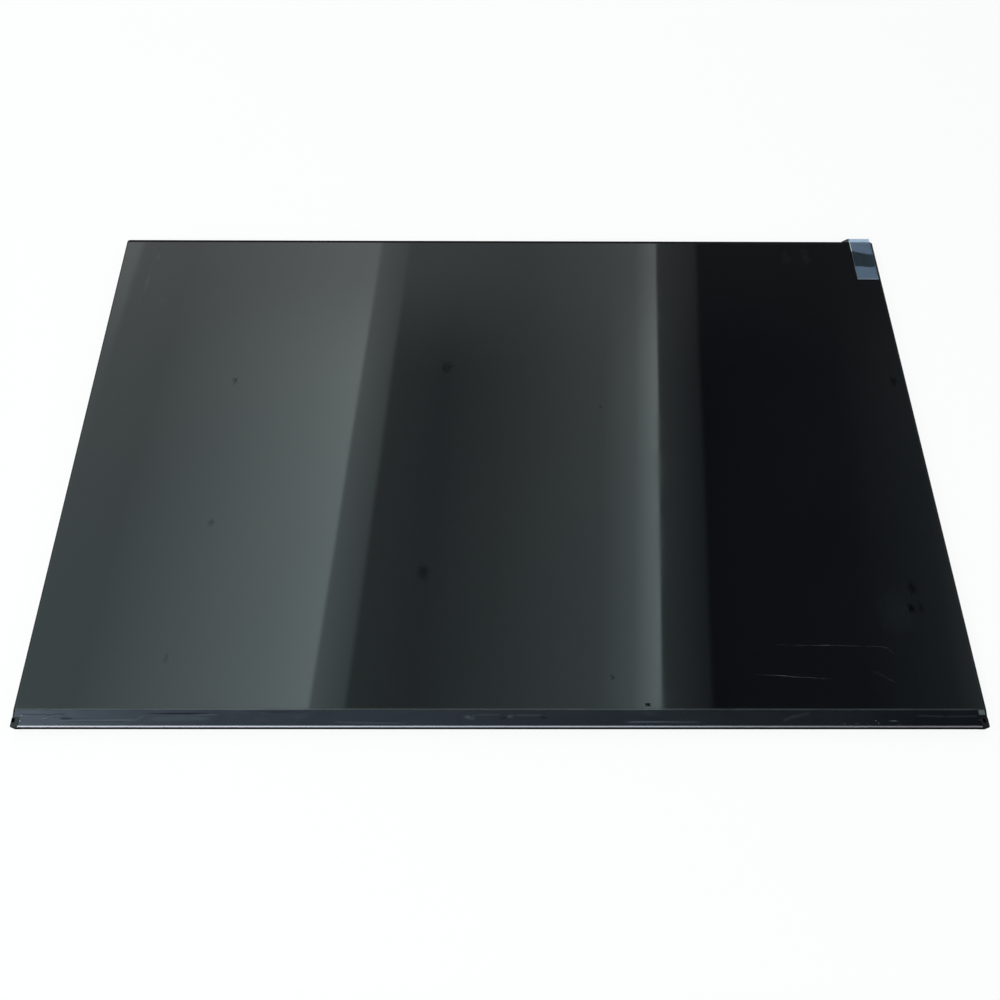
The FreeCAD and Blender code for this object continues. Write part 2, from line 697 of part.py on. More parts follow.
def ledge_pad():
    """A soft pad on the bare end of the ledge, with its inner far corner cut off."""
    x, y = ledge_pad_place()
    pad = block(x, y, (TFT_FRONT, TFT_FRONT + LEDGE_PAD_HEIGHT))
    inner_far = edges_along(
        pad, V(0, 0, 1), lambda middle: abs(middle.x - x[0]) < 0.01 and abs(middle.y - y[1]) < 0.01
    )
    return upright_rounded(pad.makeChamfer(LEDGE_PAD_CHAMFER, inner_far), LEDGE_PAD_CORNER_RADIUS)


# Driver board and what is on it


def driver_board():
    """The long circuit board on the back, with a tooling hole at each end."""
    board = block(
        centred(0, BOARD_LENGTH), (from_near(BOARD_NEAR), from_near(BOARD_FAR)), (BOARD_REAR, BOARD_FRONT)
    )
    board = upright_rounded(board, BOARD_CORNER_RADIUS)
    for side in (1, -1):
        centre = V(side * (BOARD_LENGTH / 2 - BOARD_HOLE_INSET), from_near(BOARD_FAR - BOARD_HOLE_INSET),
                   BOARD_REAR)
        board = board.cut(Part.makeCylinder(BOARD_HOLE_DIAMETER / 2, BOARD_THICKNESS, centre))
    return board


def board_tape():
    """The tape that holds the board to the back plate."""
    margin = BOARD_TAPE_MARGIN
    return block(
        centred(0, BOARD_LENGTH - 2 * margin - 4 * BOARD_HOLE_INSET),
        (from_near(BOARD_NEAR + margin), from_near(BOARD_FAR - margin)),
        (BOARD_FRONT, PLATE_REAR),
    )


def connector_limits():
    """X, Y and Z limits of the connector's housing, inside its shell."""
    width = (CONNECTOR_WAYS - 1) * CONNECTOR_PITCH + 2 * CONNECTOR_END
    far = from_near(BOARD_FAR - CONNECTOR_SETBACK)
    z = (BOARD_REAR - CONNECTOR_HEIGHT + CONNECTOR_SHELL_THICKNESS, BOARD_REAR)
    return centred(CONNECTOR_X, width), (far - CONNECTOR_DEPTH, far), z


def connector_housing():
    """The moulded body, open towards the far edge for the plug, with a channel for each contact."""
    x, y, z = connector_limits()
    mouth_z = (z[0] + MOUTH_WALL, z[0] + MOUTH_WALL + MOUTH_HEIGHT)
    mouth = block((x[0] + MOUTH_END, x[1] - MOUTH_END), (y[1] - MOUTH_DEPTH, y[1]), mouth_z)
    return one_solid(block(x, y, z).cut(mouth).cut(connector_contacts()))


def connector_shell():
    """The folded metal cover over the housing's back and ends."""
    x, y, z = connector_limits()
    wall = CONNECTOR_SHELL_THICKNESS
    cover = block((x[0] - wall, x[1] + wall), y, (z[0] - wall, z[1]))
    cover = cover.makeFillet(wall, edges_along(cover, V(0, 1, 0), lambda middle: middle.z < z[0]))
    return cover.cut(block(x, y, z))


def connector_contacts():
    """Folded contacts: a tail on the board, a sloping step, and a blade along the mouth."""
    _, y, z = connector_limits()
    blade_top = z[0] + MOUTH_WALL + MOUTH_HEIGHT
    upper_side = [
        (y[0] - CONTACT_TAIL, z[1]),
        (y[0] + CONTACT_SETBACK, z[1]),
        (y[0] + CONTACT_SETBACK + z[1] - blade_top, blade_top),
        (y[1] - CONTACT_SETBACK, blade_top),
    ]
    underside = [(along, level - CONTACT_THICKNESS) for along, level in reversed(upper_side)]
    span = (CONNECTOR_WAYS - 1) * CONNECTOR_PITCH
    contacts = []
    for way in range(CONNECTOR_WAYS):
        middle = CONNECTOR_X - span / 2 + way * CONNECTOR_PITCH
        contacts.append(profile_along_x(upper_side + underside, centred(middle, CONTACT_WIDTH)))
    return Part.makeCompound(contacts)


def chip(x, size, height):
    """A square chip in the middle of the board's free depth, with its rear edges chamfered."""
    middle = from_near((BOARD_NEAR + BOARD_BOND + BOARD_FAR) / 2)
    rear = BOARD_REAR - height
    shape = block(centred(x, size), centred(middle, size), (rear, BOARD_REAR))
    rim = [edge for edge in shape.Edges if all(abs(v.Point.z - rear) < 1e-6 for v in edge.Vertexes)]
    return shape.makeChamfer(CHIP_CHAMFER, rim)


def inductor(x):
    """A shielded coil: a square base and a rounded body as tall as the connector."""
    middle = from_near((BOARD_NEAR + BOARD_BOND + BOARD_FAR) / 2)
    size = INDUCTOR_SIZE
    base_rear = BOARD_REAR - INDUCTOR_BASE_HEIGHT
    base = block(centred(x, size), centred(middle, size), (base_rear, BOARD_REAR))
    inner = size - 2 * INDUCTOR_BASE_STEP
    body = block(centred(x, inner), centred(middle, inner), (BOARD_REAR - CONNECTOR_HEIGHT, base_rear))
    return one_solid(base.fuse(upright_rounded(body, INDUCTOR_CORNER_RADIUS)))


def capped_block(x, y, length, width, height, cap, step):
    """A small component with a metal cap on each end, standing slightly proud of its body."""
    rear = BOARD_REAR - height
    body = block(
        centred(x, length - 2 * cap), centred(y, width - 2 * step), (rear + step, BOARD_REAR - step)
    )
    for side in (1, -1):
        end = centred(x + side * (length - cap) / 2, cap)
        body = body.fuse(block(end, centred(y, width), (rear, BOARD_REAR)))
    return one_solid(body)


def capacitor_places():
    """Along the board's far edge, leaving out those beside the connector and the timing chip."""
    connector_x, _, _ = connector_limits()
    reach = CAPACITOR_LENGTH + RESISTOR_LENGTH + CAPACITOR_LENGTH
    count = int(-2 * CAPACITOR_FIRST_X // CAPACITOR_PITCH) + 1
    places = [CAPACITOR_FIRST_X + i * CAPACITOR_PITCH for i in range(count)]
    for taken in (connector_x, centred(TIMING_CHIP_X, TIMING_CHIP_SIZE)):
        places = [x for x in places if not taken[0] - reach < x < taken[1] + reach]
    return places


def capacitors():
    y = from_near(BOARD_FAR - CAPACITOR_FROM_FAR_EDGE)
    return Part.makeCompound([
        capped_block(x, y, CAPACITOR_LENGTH, CAPACITOR_WIDTH, CAPACITOR_HEIGHT, CAPACITOR_CAP, CAPACITOR_STEP)
        for x in capacitor_places()
    ])


def resistors():
    """One beside each capacitor."""
    y = from_near(BOARD_FAR - CAPACITOR_FROM_FAR_EDGE)
    offset = CAPACITOR_LENGTH + RESISTOR_LENGTH
    return Part.makeCompound([
        capped_block(x + offset, y, RESISTOR_LENGTH, RESISTOR_WIDTH, RESISTOR_HEIGHT, RESISTOR_CAP,
                     RESISTOR_STEP)
        for x in capacitor_places()
    ])


def all_pieces():
    """Every piece of the module by its node name."""
    pieces = {
        "protective_film": bonded_front_layer(POLARIZER_FRONT, PROTECTIVE_FILM_THICKNESS),
        "pull_tab": pull_tab(),
        "front_polarizer": bonded_front_layer(FILTER_FRONT, FRONT_POLARIZER_THICKNESS),
        "colour_filter_glass": colour_filter_glass(),
        "tft_glass": tft_glass(),
        "rear_polarizer": rear_polarizer(),
        "frame_tape": frame_tape(),
        "moulded_frame": moulded_frame(),
        "upper_prism_sheet": optical_sheet(LOWER_PRISM_FRONT, PRISM_THICKNESS),
        "lower_prism_sheet": optical_sheet(DIFFUSER_FRONT, PRISM_THICKNESS),
        "diffuser_sheet": optical_sheet(GUIDE_FRONT, DIFFUSER_THICKNESS),
        "light_guide": layer(
            LAYER_SIDE, LIGHT_GUIDE_NEAR, LAYER_FAR, REFLECTOR_FRONT, LIGHT_GUIDE_THICKNESS
        ),
        "reflector_sheet": layer(
            LAYER_SIDE, LIGHT_GUIDE_NEAR, LAYER_FAR, PLATE_FRONT, REFLECTOR_THICKNESS
        ),
        "led_strip": led_strip(),
        "leds": Part.makeCompound([led(x) for x in led_places()]),
        "led_strip_tape": led_strip_tape(),
        "back_plate": back_plate(),
        "bottom_rail": bottom_rail(),
        "edge_tape": edge_tape(),
        "ledge_cover_tape": ledge_cover_tape(),
        "ledge_pad": ledge_pad(),
        "driver_board": driver_board(),
        "board_tape": board_tape(),
        "connector_housing": connector_housing(),
        "connector_shell": connector_shell(),
        "connector_contacts": connector_contacts(),
        "timing_chip": chip(TIMING_CHIP_X, TIMING_CHIP_SIZE, TIMING_CHIP_HEIGHT),
        "power_chip": chip(POWER_CHIP_X, POWER_CHIP_SIZE, SMALL_CHIP_HEIGHT),
        "backlight_chip": chip(BACKLIGHT_CHIP_X, BACKLIGHT_CHIP_SIZE, SMALL_CHIP_HEIGHT),
        "memory_chip": chip(MEMORY_CHIP_X, MEMORY_CHIP_SIZE, SMALL_CHIP_HEIGHT),
        "inductors": Part.makeCompound([inductor(x) for x in INDUCTOR_XS]),
        "capacitors": capacitors(),
        "resistors": resistors(),
    }
    for number, x in enumerate(DRIVER_XS, 1):
        pieces[f"driver_film_{number}"] = driver_film(x)
        pieces[f"driver_chip_{number}"] = driver_chip(x)
    return pieces


os.makedirs("parts", exist_ok=True)
for name, shape in all_pieces().items():
    shape.exportStep(f"parts/{name}.step")
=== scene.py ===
import math
import random

import bmesh
import bpy
from mathutils import Matrix, Vector, noise


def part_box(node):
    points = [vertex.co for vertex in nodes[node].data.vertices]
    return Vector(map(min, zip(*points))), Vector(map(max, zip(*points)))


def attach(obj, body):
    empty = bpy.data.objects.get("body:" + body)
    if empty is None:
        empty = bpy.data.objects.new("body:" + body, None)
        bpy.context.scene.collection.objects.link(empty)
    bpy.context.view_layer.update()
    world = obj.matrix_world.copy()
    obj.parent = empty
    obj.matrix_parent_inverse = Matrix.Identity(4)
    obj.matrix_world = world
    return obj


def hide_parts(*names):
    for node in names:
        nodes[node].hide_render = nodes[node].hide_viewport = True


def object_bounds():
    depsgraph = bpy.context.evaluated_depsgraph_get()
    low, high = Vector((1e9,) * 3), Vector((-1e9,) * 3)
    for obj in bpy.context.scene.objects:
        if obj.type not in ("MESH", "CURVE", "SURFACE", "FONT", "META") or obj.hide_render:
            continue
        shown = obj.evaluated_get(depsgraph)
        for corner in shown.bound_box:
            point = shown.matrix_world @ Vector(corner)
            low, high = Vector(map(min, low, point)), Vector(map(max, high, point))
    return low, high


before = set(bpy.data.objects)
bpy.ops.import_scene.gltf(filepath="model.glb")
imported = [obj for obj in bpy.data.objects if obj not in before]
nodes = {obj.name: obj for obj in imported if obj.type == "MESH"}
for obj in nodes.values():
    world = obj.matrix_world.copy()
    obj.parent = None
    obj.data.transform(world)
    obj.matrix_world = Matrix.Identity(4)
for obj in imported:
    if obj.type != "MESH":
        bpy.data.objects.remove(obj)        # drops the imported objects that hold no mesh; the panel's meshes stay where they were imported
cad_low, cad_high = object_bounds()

MM = 0.001
BODY = "root"
scene = bpy.context.scene

film_low, film_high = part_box("protective_film")
tape_low, tape_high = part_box("ledge_cover_tape")
pad_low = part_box("ledge_pad")[0]
rail_low, rail_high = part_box("bottom_rail")
tab_low, tab_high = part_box("pull_tab")
board_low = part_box("driver_board")[0]
SCREEN_TOP = film_high.z
NEAR_EDGE = cad_low.y
FAR_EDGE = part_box("moulded_frame")[1].y

# Camera, as the photograph was taken: in front of the panel, looking steeply down
CAMERA_PLACE = Vector((-2.11, -179.07, 321.11)) * MM
CAMERA_PITCH = math.radians(63.764)
CAMERA_YAW = math.radians(0.6455)
CAMERA_ROLL = math.radians(0.664)
CAMERA_LENS = 31.578
CAMERA_SENSOR = 36.0
CAMERA_CLIP_START = 0.01

# Light, in metres: an even white surround, one soft lamp and graded soft panels that the screen mirrors
SURROUND_LEVEL = 0.75
FLOOR_SIZE = 12.0
FLOOR_GAP = 0.05 * MM
FLOOR_COLOUR = (0.92, 0.88, 0.88)
FLOOR_GLOW_SHARE = 0.85
LAMP_PLACE = Vector((-0.55, -0.75, 0.95))
LAMP_SIZE = 0.7
LAMP_POWER = 7.0
LIGHT_HEIGHT = 1.0
LIGHT_FOLDS = -0.9
LIGHT_NEAR = -0.02
LIGHT_SEAM = 0.116
LIGHT_FAR = 1.13
LIGHT_ROW = 0.06
LIGHT_FADE = (0.69, 1.0)
LIGHT_LEAN = 0.0662
LIGHT_LEAN_GROWTH = 0.015
LIGHT_TINT_NEAR = (0.80, 1.0, 1.0)
LIGHT_TINT_FAR = (0.91, 1.0, 0.98)
# Stations across the panels over the screen: place in millimetres, level in the near part and at the far end
SCREEN_LIGHTS = [
    (-1000, 1.34, 1.85), (-742, 1.34, 1.85), (-732, 1.24, 1.30), (-640, 1.20, 1.28), (-500, 1.80, 1.60),
    (-360, 2.50, 1.98), (-283, 3.00, 2.12), (-278, 1.50, 1.38), (-231, 1.05, 1.08), (-223, 0.48, 0.88),
    (-130, 0.38, 0.84), (5, 0.60, 0.79), (150, 0.92, 1.00), (205, 1.45, 1.15), (245, 2.85, 1.95),
    (248, 0.50, 0.50), (318, 0.20, 0.30), (326, 0.03, 0.10), (560, 0.07, 0.09), (690, 0.20, 0.10),
    (740, 0.44, 0.14), (1000, 0.50, 0.20),
]
# The same for the panel over the near strip, which is even from its near end to its far end: place and level
STRIP_LIGHTS = [
    (-1000, 3.2), (-720, 3.1), (-683, 3.0), (-594, 2.00), (-446, 1.15), (-297, 0.88), (-148, 0.98), (0, 0.68),
    (149, 0.47), (297, 0.40), (446, 0.31), (595, 0.20), (684, 0.07), (1000, 0.05),
]
# And for the panel in front of it, which the folds of the tape and the bend of the rail catch
FOLD_LIGHTS = [
    (-1000, 0.9), (-683, 0.80), (-594, 0.10), (-446, 0.9), (-297, 1.5), (-148, 2.0), (0, 2.1), (149, 1.6),
    (297, 1.8), (446, 0.1), (595, 0.05), (1000, 0.02),
]

# Where a finish changes, in millimetres from the edge or level that its function names
MARGIN_HIGHLIGHT = (0.1, 0.0)
FAR_LIP = (-3.0, -1.5)
FLEX_LACQUER = (-0.5, -0.3)
FLAP_LEVELS = (0.1, -0.5)
FLAP_SIDE = (1.1, 0.3)
RIM_BEND_HIGHLIGHT = (-7.6, -6.6)
RIM_END_HIGHLIGHT = (0.5, 0.1)
# Rows of small components: first place along x, pitch and half of the length left bare, in millimetres
RESISTOR_ROW = (-137.4, 14.0, 0.3)
CAPACITOR_ROW = (-140.0, 14.0, 0.5)
EVEN_GRAIN = (1.0, 1.0, 1.0)


# Node trees


def put(socket, value):
    """Links another node's output to a socket, or sets the socket's own value."""
    if isinstance(value, bpy.types.NodeSocket):
        socket.id_data.links.new(value, socket)
    else:
        socket.default_value = value


def add(tree, kind, inputs=None, **settings):
    """A node with its settings and inputs filled in."""
    made = tree.nodes.new(kind)
    for name, value in settings.items():
        setattr(made, name, value)
    for name, value in (inputs or {}).items():
        put(made.inputs[name], value)
    return made


def maths(tree, operation, first, second=0.0):
    return add(tree, "ShaderNodeMath", {0: first, 1: second}, operation=operation).outputs[0]


def weighted(tree, first, second, share):
    """A sum of two values in which the first has the given share."""
    kept = maths(tree, "MULTIPLY", first, share)
    return maths(tree, "ADD", kept, maths(tree, "MULTIPLY", second, 1.0 - share))


def remap(tree, value, low, high, to_low=0.0, to_high=1.0):
    """A value carried smoothly from one range to another and held at its ends."""
    inputs = {"Value": value, "From Min": low, "From Max": high, "To Min": to_low, "To Max": to_high}
    return add(tree, "ShaderNodeMapRange", inputs, interpolation_type="SMOOTHSTEP").outputs["Result"]


def mix_colour(tree, share, first, second):
    return add(tree, "ShaderNodeMix", {0: share, 6: first, 7: second}, data_type="RGBA").outputs[2]


def tinted(tree, colour, mask, cover, tint):
    """A colour with a tint laid over it where the mask is, up to a cover."""
    return mix_colour(tree, maths(tree, "MULTIPLY", mask, cover), colour, tint)


def object_place(tree):
    return add(tree, "ShaderNodeTexCoord").outputs["Object"]


def place_along(tree, axis):
    return add(tree, "ShaderNodeSeparateXYZ", {0: object_place(tree)}).outputs[axis]


def between(tree, axis, datum, limits, to_low=0.0, to_high=1.0):
    """A change along an axis from one limit to another; both are in millimetres from a datum in metres."""
    start, end = [datum + limit * MM for limit in limits]
    return remap(tree, place_along(tree, axis), start, end, to_low, to_high)


def flatness(tree):
    """1 on faces that lie flat and 0 on upright ones."""
    normal = add(tree, "ShaderNodeNewGeometry").outputs["True Normal"]
    return maths(tree, "ABSOLUTE", add(tree, "ShaderNodeSeparateXYZ", {0: normal}).outputs["Z"])


def noise_value(tree, place, scale, detail=3.0, roughness=0.5):
    inputs = {"Vector": place, "Scale": scale, "Detail": detail, "Roughness": roughness}
    return add(tree, "ShaderNodeTexNoise", inputs).outputs["Fac"]


def stretched(tree, place, stretch):
    return add(tree, "ShaderNodeVectorMath", {0: place, 1: stretch}, operation="MULTIPLY").outputs[0]


def grey(level):
    return (level, level, level, 1.0)


def rgb(red, green, blue):
    return (red, green, blue, 1.0)


# Effects that several finishes share


def effect_group(name, inputs, outputs):
    """An empty shader group with named sockets, and its entry and exit nodes."""
    group = bpy.data.node_groups.new(name, "ShaderNodeTree")
    for label, kind, value in inputs:
        group.interface.new_socket(label, in_out="INPUT", socket_type=kind).default_value = value
    for label, kind in outputs:
        group.interface.new_socket(label, in_out="OUTPUT", socket_type=kind)
    return group, group.nodes.new("NodeGroupInput").outputs, group.nodes.new("NodeGroupOutput").inputs


def uneven_tone_group():
    """Two close colours that drift into each other in soft patches with a finer grain."""
    inputs = [
        ("Colour", "NodeSocketColor", grey(0.5)),
        ("Second Colour", "NodeSocketColor", grey(0.6)),
        ("Patches", "NodeSocketFloat", 30.0),
        ("Grain", "NodeSocketFloat", 900.0),
    ]
    group, entry, leave = effect_group("uneven tone", inputs, [("Colour", "NodeSocketColor")])
    place = object_place(group)
    patches = noise_value(group, place, entry["Patches"], 2.0)
    grain = noise_value(group, place, entry["Grain"], 3.0)
    share = remap(group, weighted(group, patches, grain, 0.65), 0.32, 0.68)
    put(leave["Colour"], mix_colour(group, share, entry["Colour"], entry["Second Colour"]))
    return group


def dust_group():
    """Scattered specks of different sizes, as a mask."""
    inputs = [
        ("Spacing", "NodeSocketFloat", 250.0),
        ("Share", "NodeSocketFloat", 0.3),
        ("Size", "NodeSocketFloat", 0.1),
    ]
    group, entry, leave = effect_group("dust specks", inputs, [("Mask", "NodeSocketFloat")])
    cells = add(group, "ShaderNodeTexVoronoi", {"Vector": object_place(group), "Scale": entry["Spacing"]})
    chance = add(group, "ShaderNodeSeparateColor", {0: cells.outputs["Color"]})
    chosen = maths(group, "LESS_THAN", chance.outputs["Red"], entry["Share"])
    reach = maths(group, "MULTIPLY", chance.outputs["Green"], entry["Size"])
    inside = remap(group, maths(group, "SUBTRACT", reach, cells.outputs["Distance"]), 0.0, 0.02)
    put(leave["Mask"], maths(group, "MULTIPLY", inside, chosen))
    return group


def rolled_grain_group():
    """Fine lines drawn out in one direction, as rolling leaves them in sheet metal."""
    inputs = [("Scale", "NodeSocketFloat", 900.0), ("Stretch", "NodeSocketVector", (0.03, 1.0, 1.0))]
    group, entry, leave = effect_group("rolled grain", inputs, [("Grain", "NodeSocketFloat")])
    place = stretched(group, object_place(group), entry["Stretch"])
    fine = noise_value(group, place, entry["Scale"], 4.0, 0.6)
    broad = noise_value(group, place, maths(group, "MULTIPLY", entry["Scale"], 0.12), 2.0)
    put(leave["Grain"], weighted(group, fine, broad, 0.6))
    return group


def film_ripple_group():
    """The slow waves of a film that was laid down by hand."""
    inputs = [("Scale", "NodeSocketFloat", 16.0)]
    group, entry, leave = effect_group("film ripple", inputs, [("Height", "NodeSocketFloat")])
    put(leave["Height"], noise_value(group, object_place(group), entry["Scale"], 1.0, 0.4))
    return group


def rubbed_edge_group():
    """A mask along sharp edges, broken up by a fine noise."""
    inputs = [("Reach", "NodeSocketFloat", 0.0002), ("Breaks", "NodeSocketFloat", 600.0)]
    group, entry, leave = effect_group("rubbed edge", inputs, [("Mask", "NodeSocketFloat")])
    rounded = add(group, "ShaderNodeBevel", {"Radius": entry["Reach"]}, samples=6).outputs["Normal"]
    flat = add(group, "ShaderNodeNewGeometry").outputs["Normal"]
    facing = add(group, "ShaderNodeVectorMath", {0: rounded, 1: flat}, operation="DOT_PRODUCT")
    edge = remap(group, facing.outputs["Value"], 0.97, 0.80)
    breaks = remap(group, noise_value(group, object_place(group), entry["Breaks"], 2.0), 0.35, 0.6)
    put(leave["Mask"], maths(group, "MULTIPLY", edge, breaks))
    return group


UNEVEN_TONE = uneven_tone_group()
DUST = dust_group()
ROLLED_GRAIN = rolled_grain_group()
FILM_RIPPLE = film_ripple_group()
RUBBED_EDGE = rubbed_edge_group()


def use(tree, group, output, **inputs):
    """Places a shared effect in a material; its inputs' names are written with underscores."""
    placed = add(tree, "ShaderNodeGroup", node_tree=group)
    for name, value in inputs.items():
        put(placed.inputs[name.replace("_", " ")], value)
    return placed.outputs[output]


# Finishes


def finish(name, roughness, **constants):
    """A material with a plain shader; constants are shader sockets with underscores for spaces."""
    material = bpy.data.materials.new(name)
    material.use_nodes = True
    tree = material.node_tree
    shader = tree.nodes["Principled BSDF"]
    shader.inputs["Roughness"].default_value = roughness
    for label, value in constants.items():
        shader.inputs[label.replace("_", " ")].default_value = value
    return material, tree, shader.inputs


def two_tones(tree, first, second, patches=30.0, grain=900.0):
    return use(tree, UNEVEN_TONE, "Colour", Colour=first, Second_Colour=second, Patches=patches, Grain=grain)


def toned(tree, sockets, *tones):
    """Feeds the base colour with an uneven tone and returns that colour's output."""
    colour = two_tones(tree, *tones)
    put(sockets["Base Color"], colour)
    return colour


def uneven_roughness(tree, sockets, scale, low, high):
    patches = noise_value(tree, object_place(tree), scale)
    put(sockets["Roughness"], remap(tree, patches, 0.3, 0.7, low, high))


def bumped(tree, sockets, height, depth):
    inputs = {"Height": height, "Distance": depth}
    put(sockets["Normal"], add(tree, "ShaderNodeBump", inputs).outputs["Normal"])


def film_over_screen():
    """Clear film laid on the black polarizer: the two read as one near-black gloss."""
    material, tree, sockets = finish("film_over_screen", 0.04, IOR=1.5)
    colour = toned(tree, sockets, rgb(0.0026, 0.0028, 0.0040), rgb(0.0034, 0.0036, 0.0048), 14.0, 300.0)
    dust = use(tree, DUST, "Mask", Spacing=130.0, Share=0.16, Size=0.035)
    put(sockets["Base Color"], tinted(tree, colour, dust, 0.35, grey(0.12)))
    haze = remap(tree, noise_value(tree, object_place(tree), 24.0, 4.0, 0.6), 0.45, 0.75, 0.028, 0.05)
    put(sockets["Roughness"], maths(tree, "ADD", haze, maths(tree, "MULTIPLY", dust, 0.3)))
    bumped(tree, sockets, use(tree, FILM_RIPPLE, "Height", Scale=15.0), 0.00003)
    return material


def polarizer_sheet():
    material, tree, sockets = finish("polarizer_sheet", 0.12, IOR=1.5)
    toned(tree, sockets, rgb(0.006, 0.006, 0.008), rgb(0.010, 0.010, 0.012), 20.0)
    return material


def panel_glass():
    """Thin glass over a black border: its cut edges are frosted and its near margin carries a pale painted
    highlight.
    """
    material, tree, sockets = finish("panel_glass", 0.05, IOR=1.52)
    border = two_tones(tree, rgb(0.005, 0.006, 0.007), rgb(0.010, 0.012, 0.013), 90.0, 1500.0)
    # Painted highlight: the glass left bare just in front of the film's near edge is made paler
    margin_highlight = two_tones(tree, rgb(0.015, 0.018, 0.020), rgb(0.029, 0.033, 0.036), 90.0, 1500.0)
    cut = two_tones(tree, rgb(0.20, 0.25, 0.24), rgb(0.32, 0.38, 0.37), 200.0, 2500.0)
    margin = between(tree, "Y", film_low.y, MARGIN_HIGHLIGHT)
    side = remap(tree, flatness(tree), 0.7, 0.3)
    face = mix_colour(tree, margin, border, margin_highlight)
    put(sockets["Base Color"], mix_colour(tree, side, face, cut))
    put(sockets["Roughness"], remap(tree, side, 0.0, 1.0, 0.05, 0.55))
    return material


def moulded_black():
    """Fine matt moulding: its flat faces are a little polished, least of all along the far lip."""
    material, tree, sockets = finish("moulded_black", 0.5, Specular_IOR_Level=0.0, Coat_IOR=1.5,
                                     Coat_Roughness=0.3)
    colour = toned(tree, sockets, rgb(0.0035, 0.0035, 0.0045), rgb(0.0065, 0.0065, 0.0080), 60.0, 2200.0)
    worn = use(tree, RUBBED_EDGE, "Mask", Reach=0.00012, Breaks=500.0)
    dust = use(tree, DUST, "Mask", Spacing=500.0, Share=0.12, Size=0.12)
    marked = tinted(tree, colour, worn, 0.2, grey(0.03))
    put(sockets["Base Color"], tinted(tree, marked, dust, 0.25, grey(0.08)))
    flat = remap(tree, flatness(tree), 0.5, 0.9)
    polish = between(tree, "Y", FAR_EDGE, FAR_LIP, 0.7, 0.12)
    put(sockets["Coat Weight"], maths(tree, "MULTIPLY", flat, polish))
    uneven_roughness(tree, sockets, 300.0, 0.42, 0.58)
    bumped(tree, sockets, noise_value(tree, object_place(tree), 3500.0, 2.0), 0.00002)
    return material


def ledge_tape_gloss():
    """Dark bluish gloss film over the glass ledge, with a painted highlight on the crests of its folds."""
    material, tree, sockets = finish("ledge_tape_gloss", 0.10, IOR=1.5, Specular_Tint=rgb(0.79, 0.80, 1.0))
    colour = toned(tree, sockets, rgb(0.0024, 0.0030, 0.0042), rgb(0.0050, 0.0058, 0.0075), 45.0, 700.0)
    dust = use(tree, DUST, "Mask", Spacing=420.0, Share=0.18, Size=0.10)
    # Painted highlight: the crests of the folds are tinted pale by the crest share stored in the mesh
    crest = add(tree, "ShaderNodeAttribute", attribute_name="crest").outputs["Fac"]
    lightened = tinted(tree, colour, crest, 0.7, rgb(0.082, 0.095, 0.108))
    put(sockets["Base Color"], tinted(tree, lightened, dust, 0.25, grey(0.08)))
    scuffs = use(tree, ROLLED_GRAIN, "Grain", Scale=420.0, Stretch=(0.12, 1.0, 1.0))
    put(sockets["Roughness"], remap(tree, scuffs, 0.3, 0.7, 0.08, 0.13))
    bumped(tree, sockets, use(tree, FILM_RIPPLE, "Height", Scale=160.0), 0.00004)
    return material


def matt_tape(name, first, second, shine):
    """Thin tape with a dull face."""
    material, tree, sockets = finish(name, 0.6, IOR=1.45, Specular_IOR_Level=shine)
    toned(tree, sockets, first, second, 50.0, 1800.0)
    uneven_roughness(tree, sockets, 200.0, 0.5, 0.7)
    bumped(tree, sockets, noise_value(tree, object_place(tree), 2800.0, 2.0), 0.00002)
    return material


def rolled_metal(name, first, second, smooth, rough, stretch, shade_band=None):
    """Bare sheet metal with a rolled grain, small scuffs and brighter edges.

    The last argument gives a middle level and a half height: within that band the metal is painted a flat
    near-black shade.
    """
    material, tree, sockets = finish(name, rough, Metallic=1.0)
    grain = use(tree, ROLLED_GRAIN, "Grain", Scale=1500.0, Stretch=stretch)
    tone = mix_colour(tree, remap(tree, grain, 0.3, 0.7), first, second)
    worn = use(tree, RUBBED_EDGE, "Mask", Reach=0.0002, Breaks=300.0)
    dust = use(tree, DUST, "Mask", Spacing=160.0, Share=0.2, Size=0.06)
    tone = tinted(tree, tone, worn, 0.5, grey(0.85))
    tone = tinted(tree, tone, dust, 0.5, grey(0.12))
    # Painted shade: within the band the metal gives way to a flat near-black with no shine
    if shade_band:
        middle, half_height = shade_band
        off_middle = maths(tree, "ABSOLUTE", maths(tree, "SUBTRACT", place_along(tree, "Z"), middle))
        bare = maths(tree, "GREATER_THAN", off_middle, half_height)
        put(sockets["Metallic"], bare)
        put(sockets["Specular IOR Level"], 0.0)
        tone = mix_colour(tree, bare, grey(0.004), tone)
    put(sockets["Base Color"], tone)
    cloudy = noise_value(tree, object_place(tree), 22.0, 3.0)
    put(sockets["Roughness"], remap(tree, weighted(tree, grain, cloudy, 0.6), 0.3, 0.7, smooth, rough))
    bumped(tree, sockets, grain, 0.000006)
    return material


def pale_foam():
    material, tree, sockets = finish("pale_foam", 0.85, IOR=1.4)
    toned(tree, sockets, rgb(0.050, 0.060, 0.064), rgb(0.088, 0.098, 0.102), 400.0, 3000.0)
    bumped(tree, sockets, noise_value(tree, object_place(tree), 3500.0, 3.0), 0.00006)
    return material


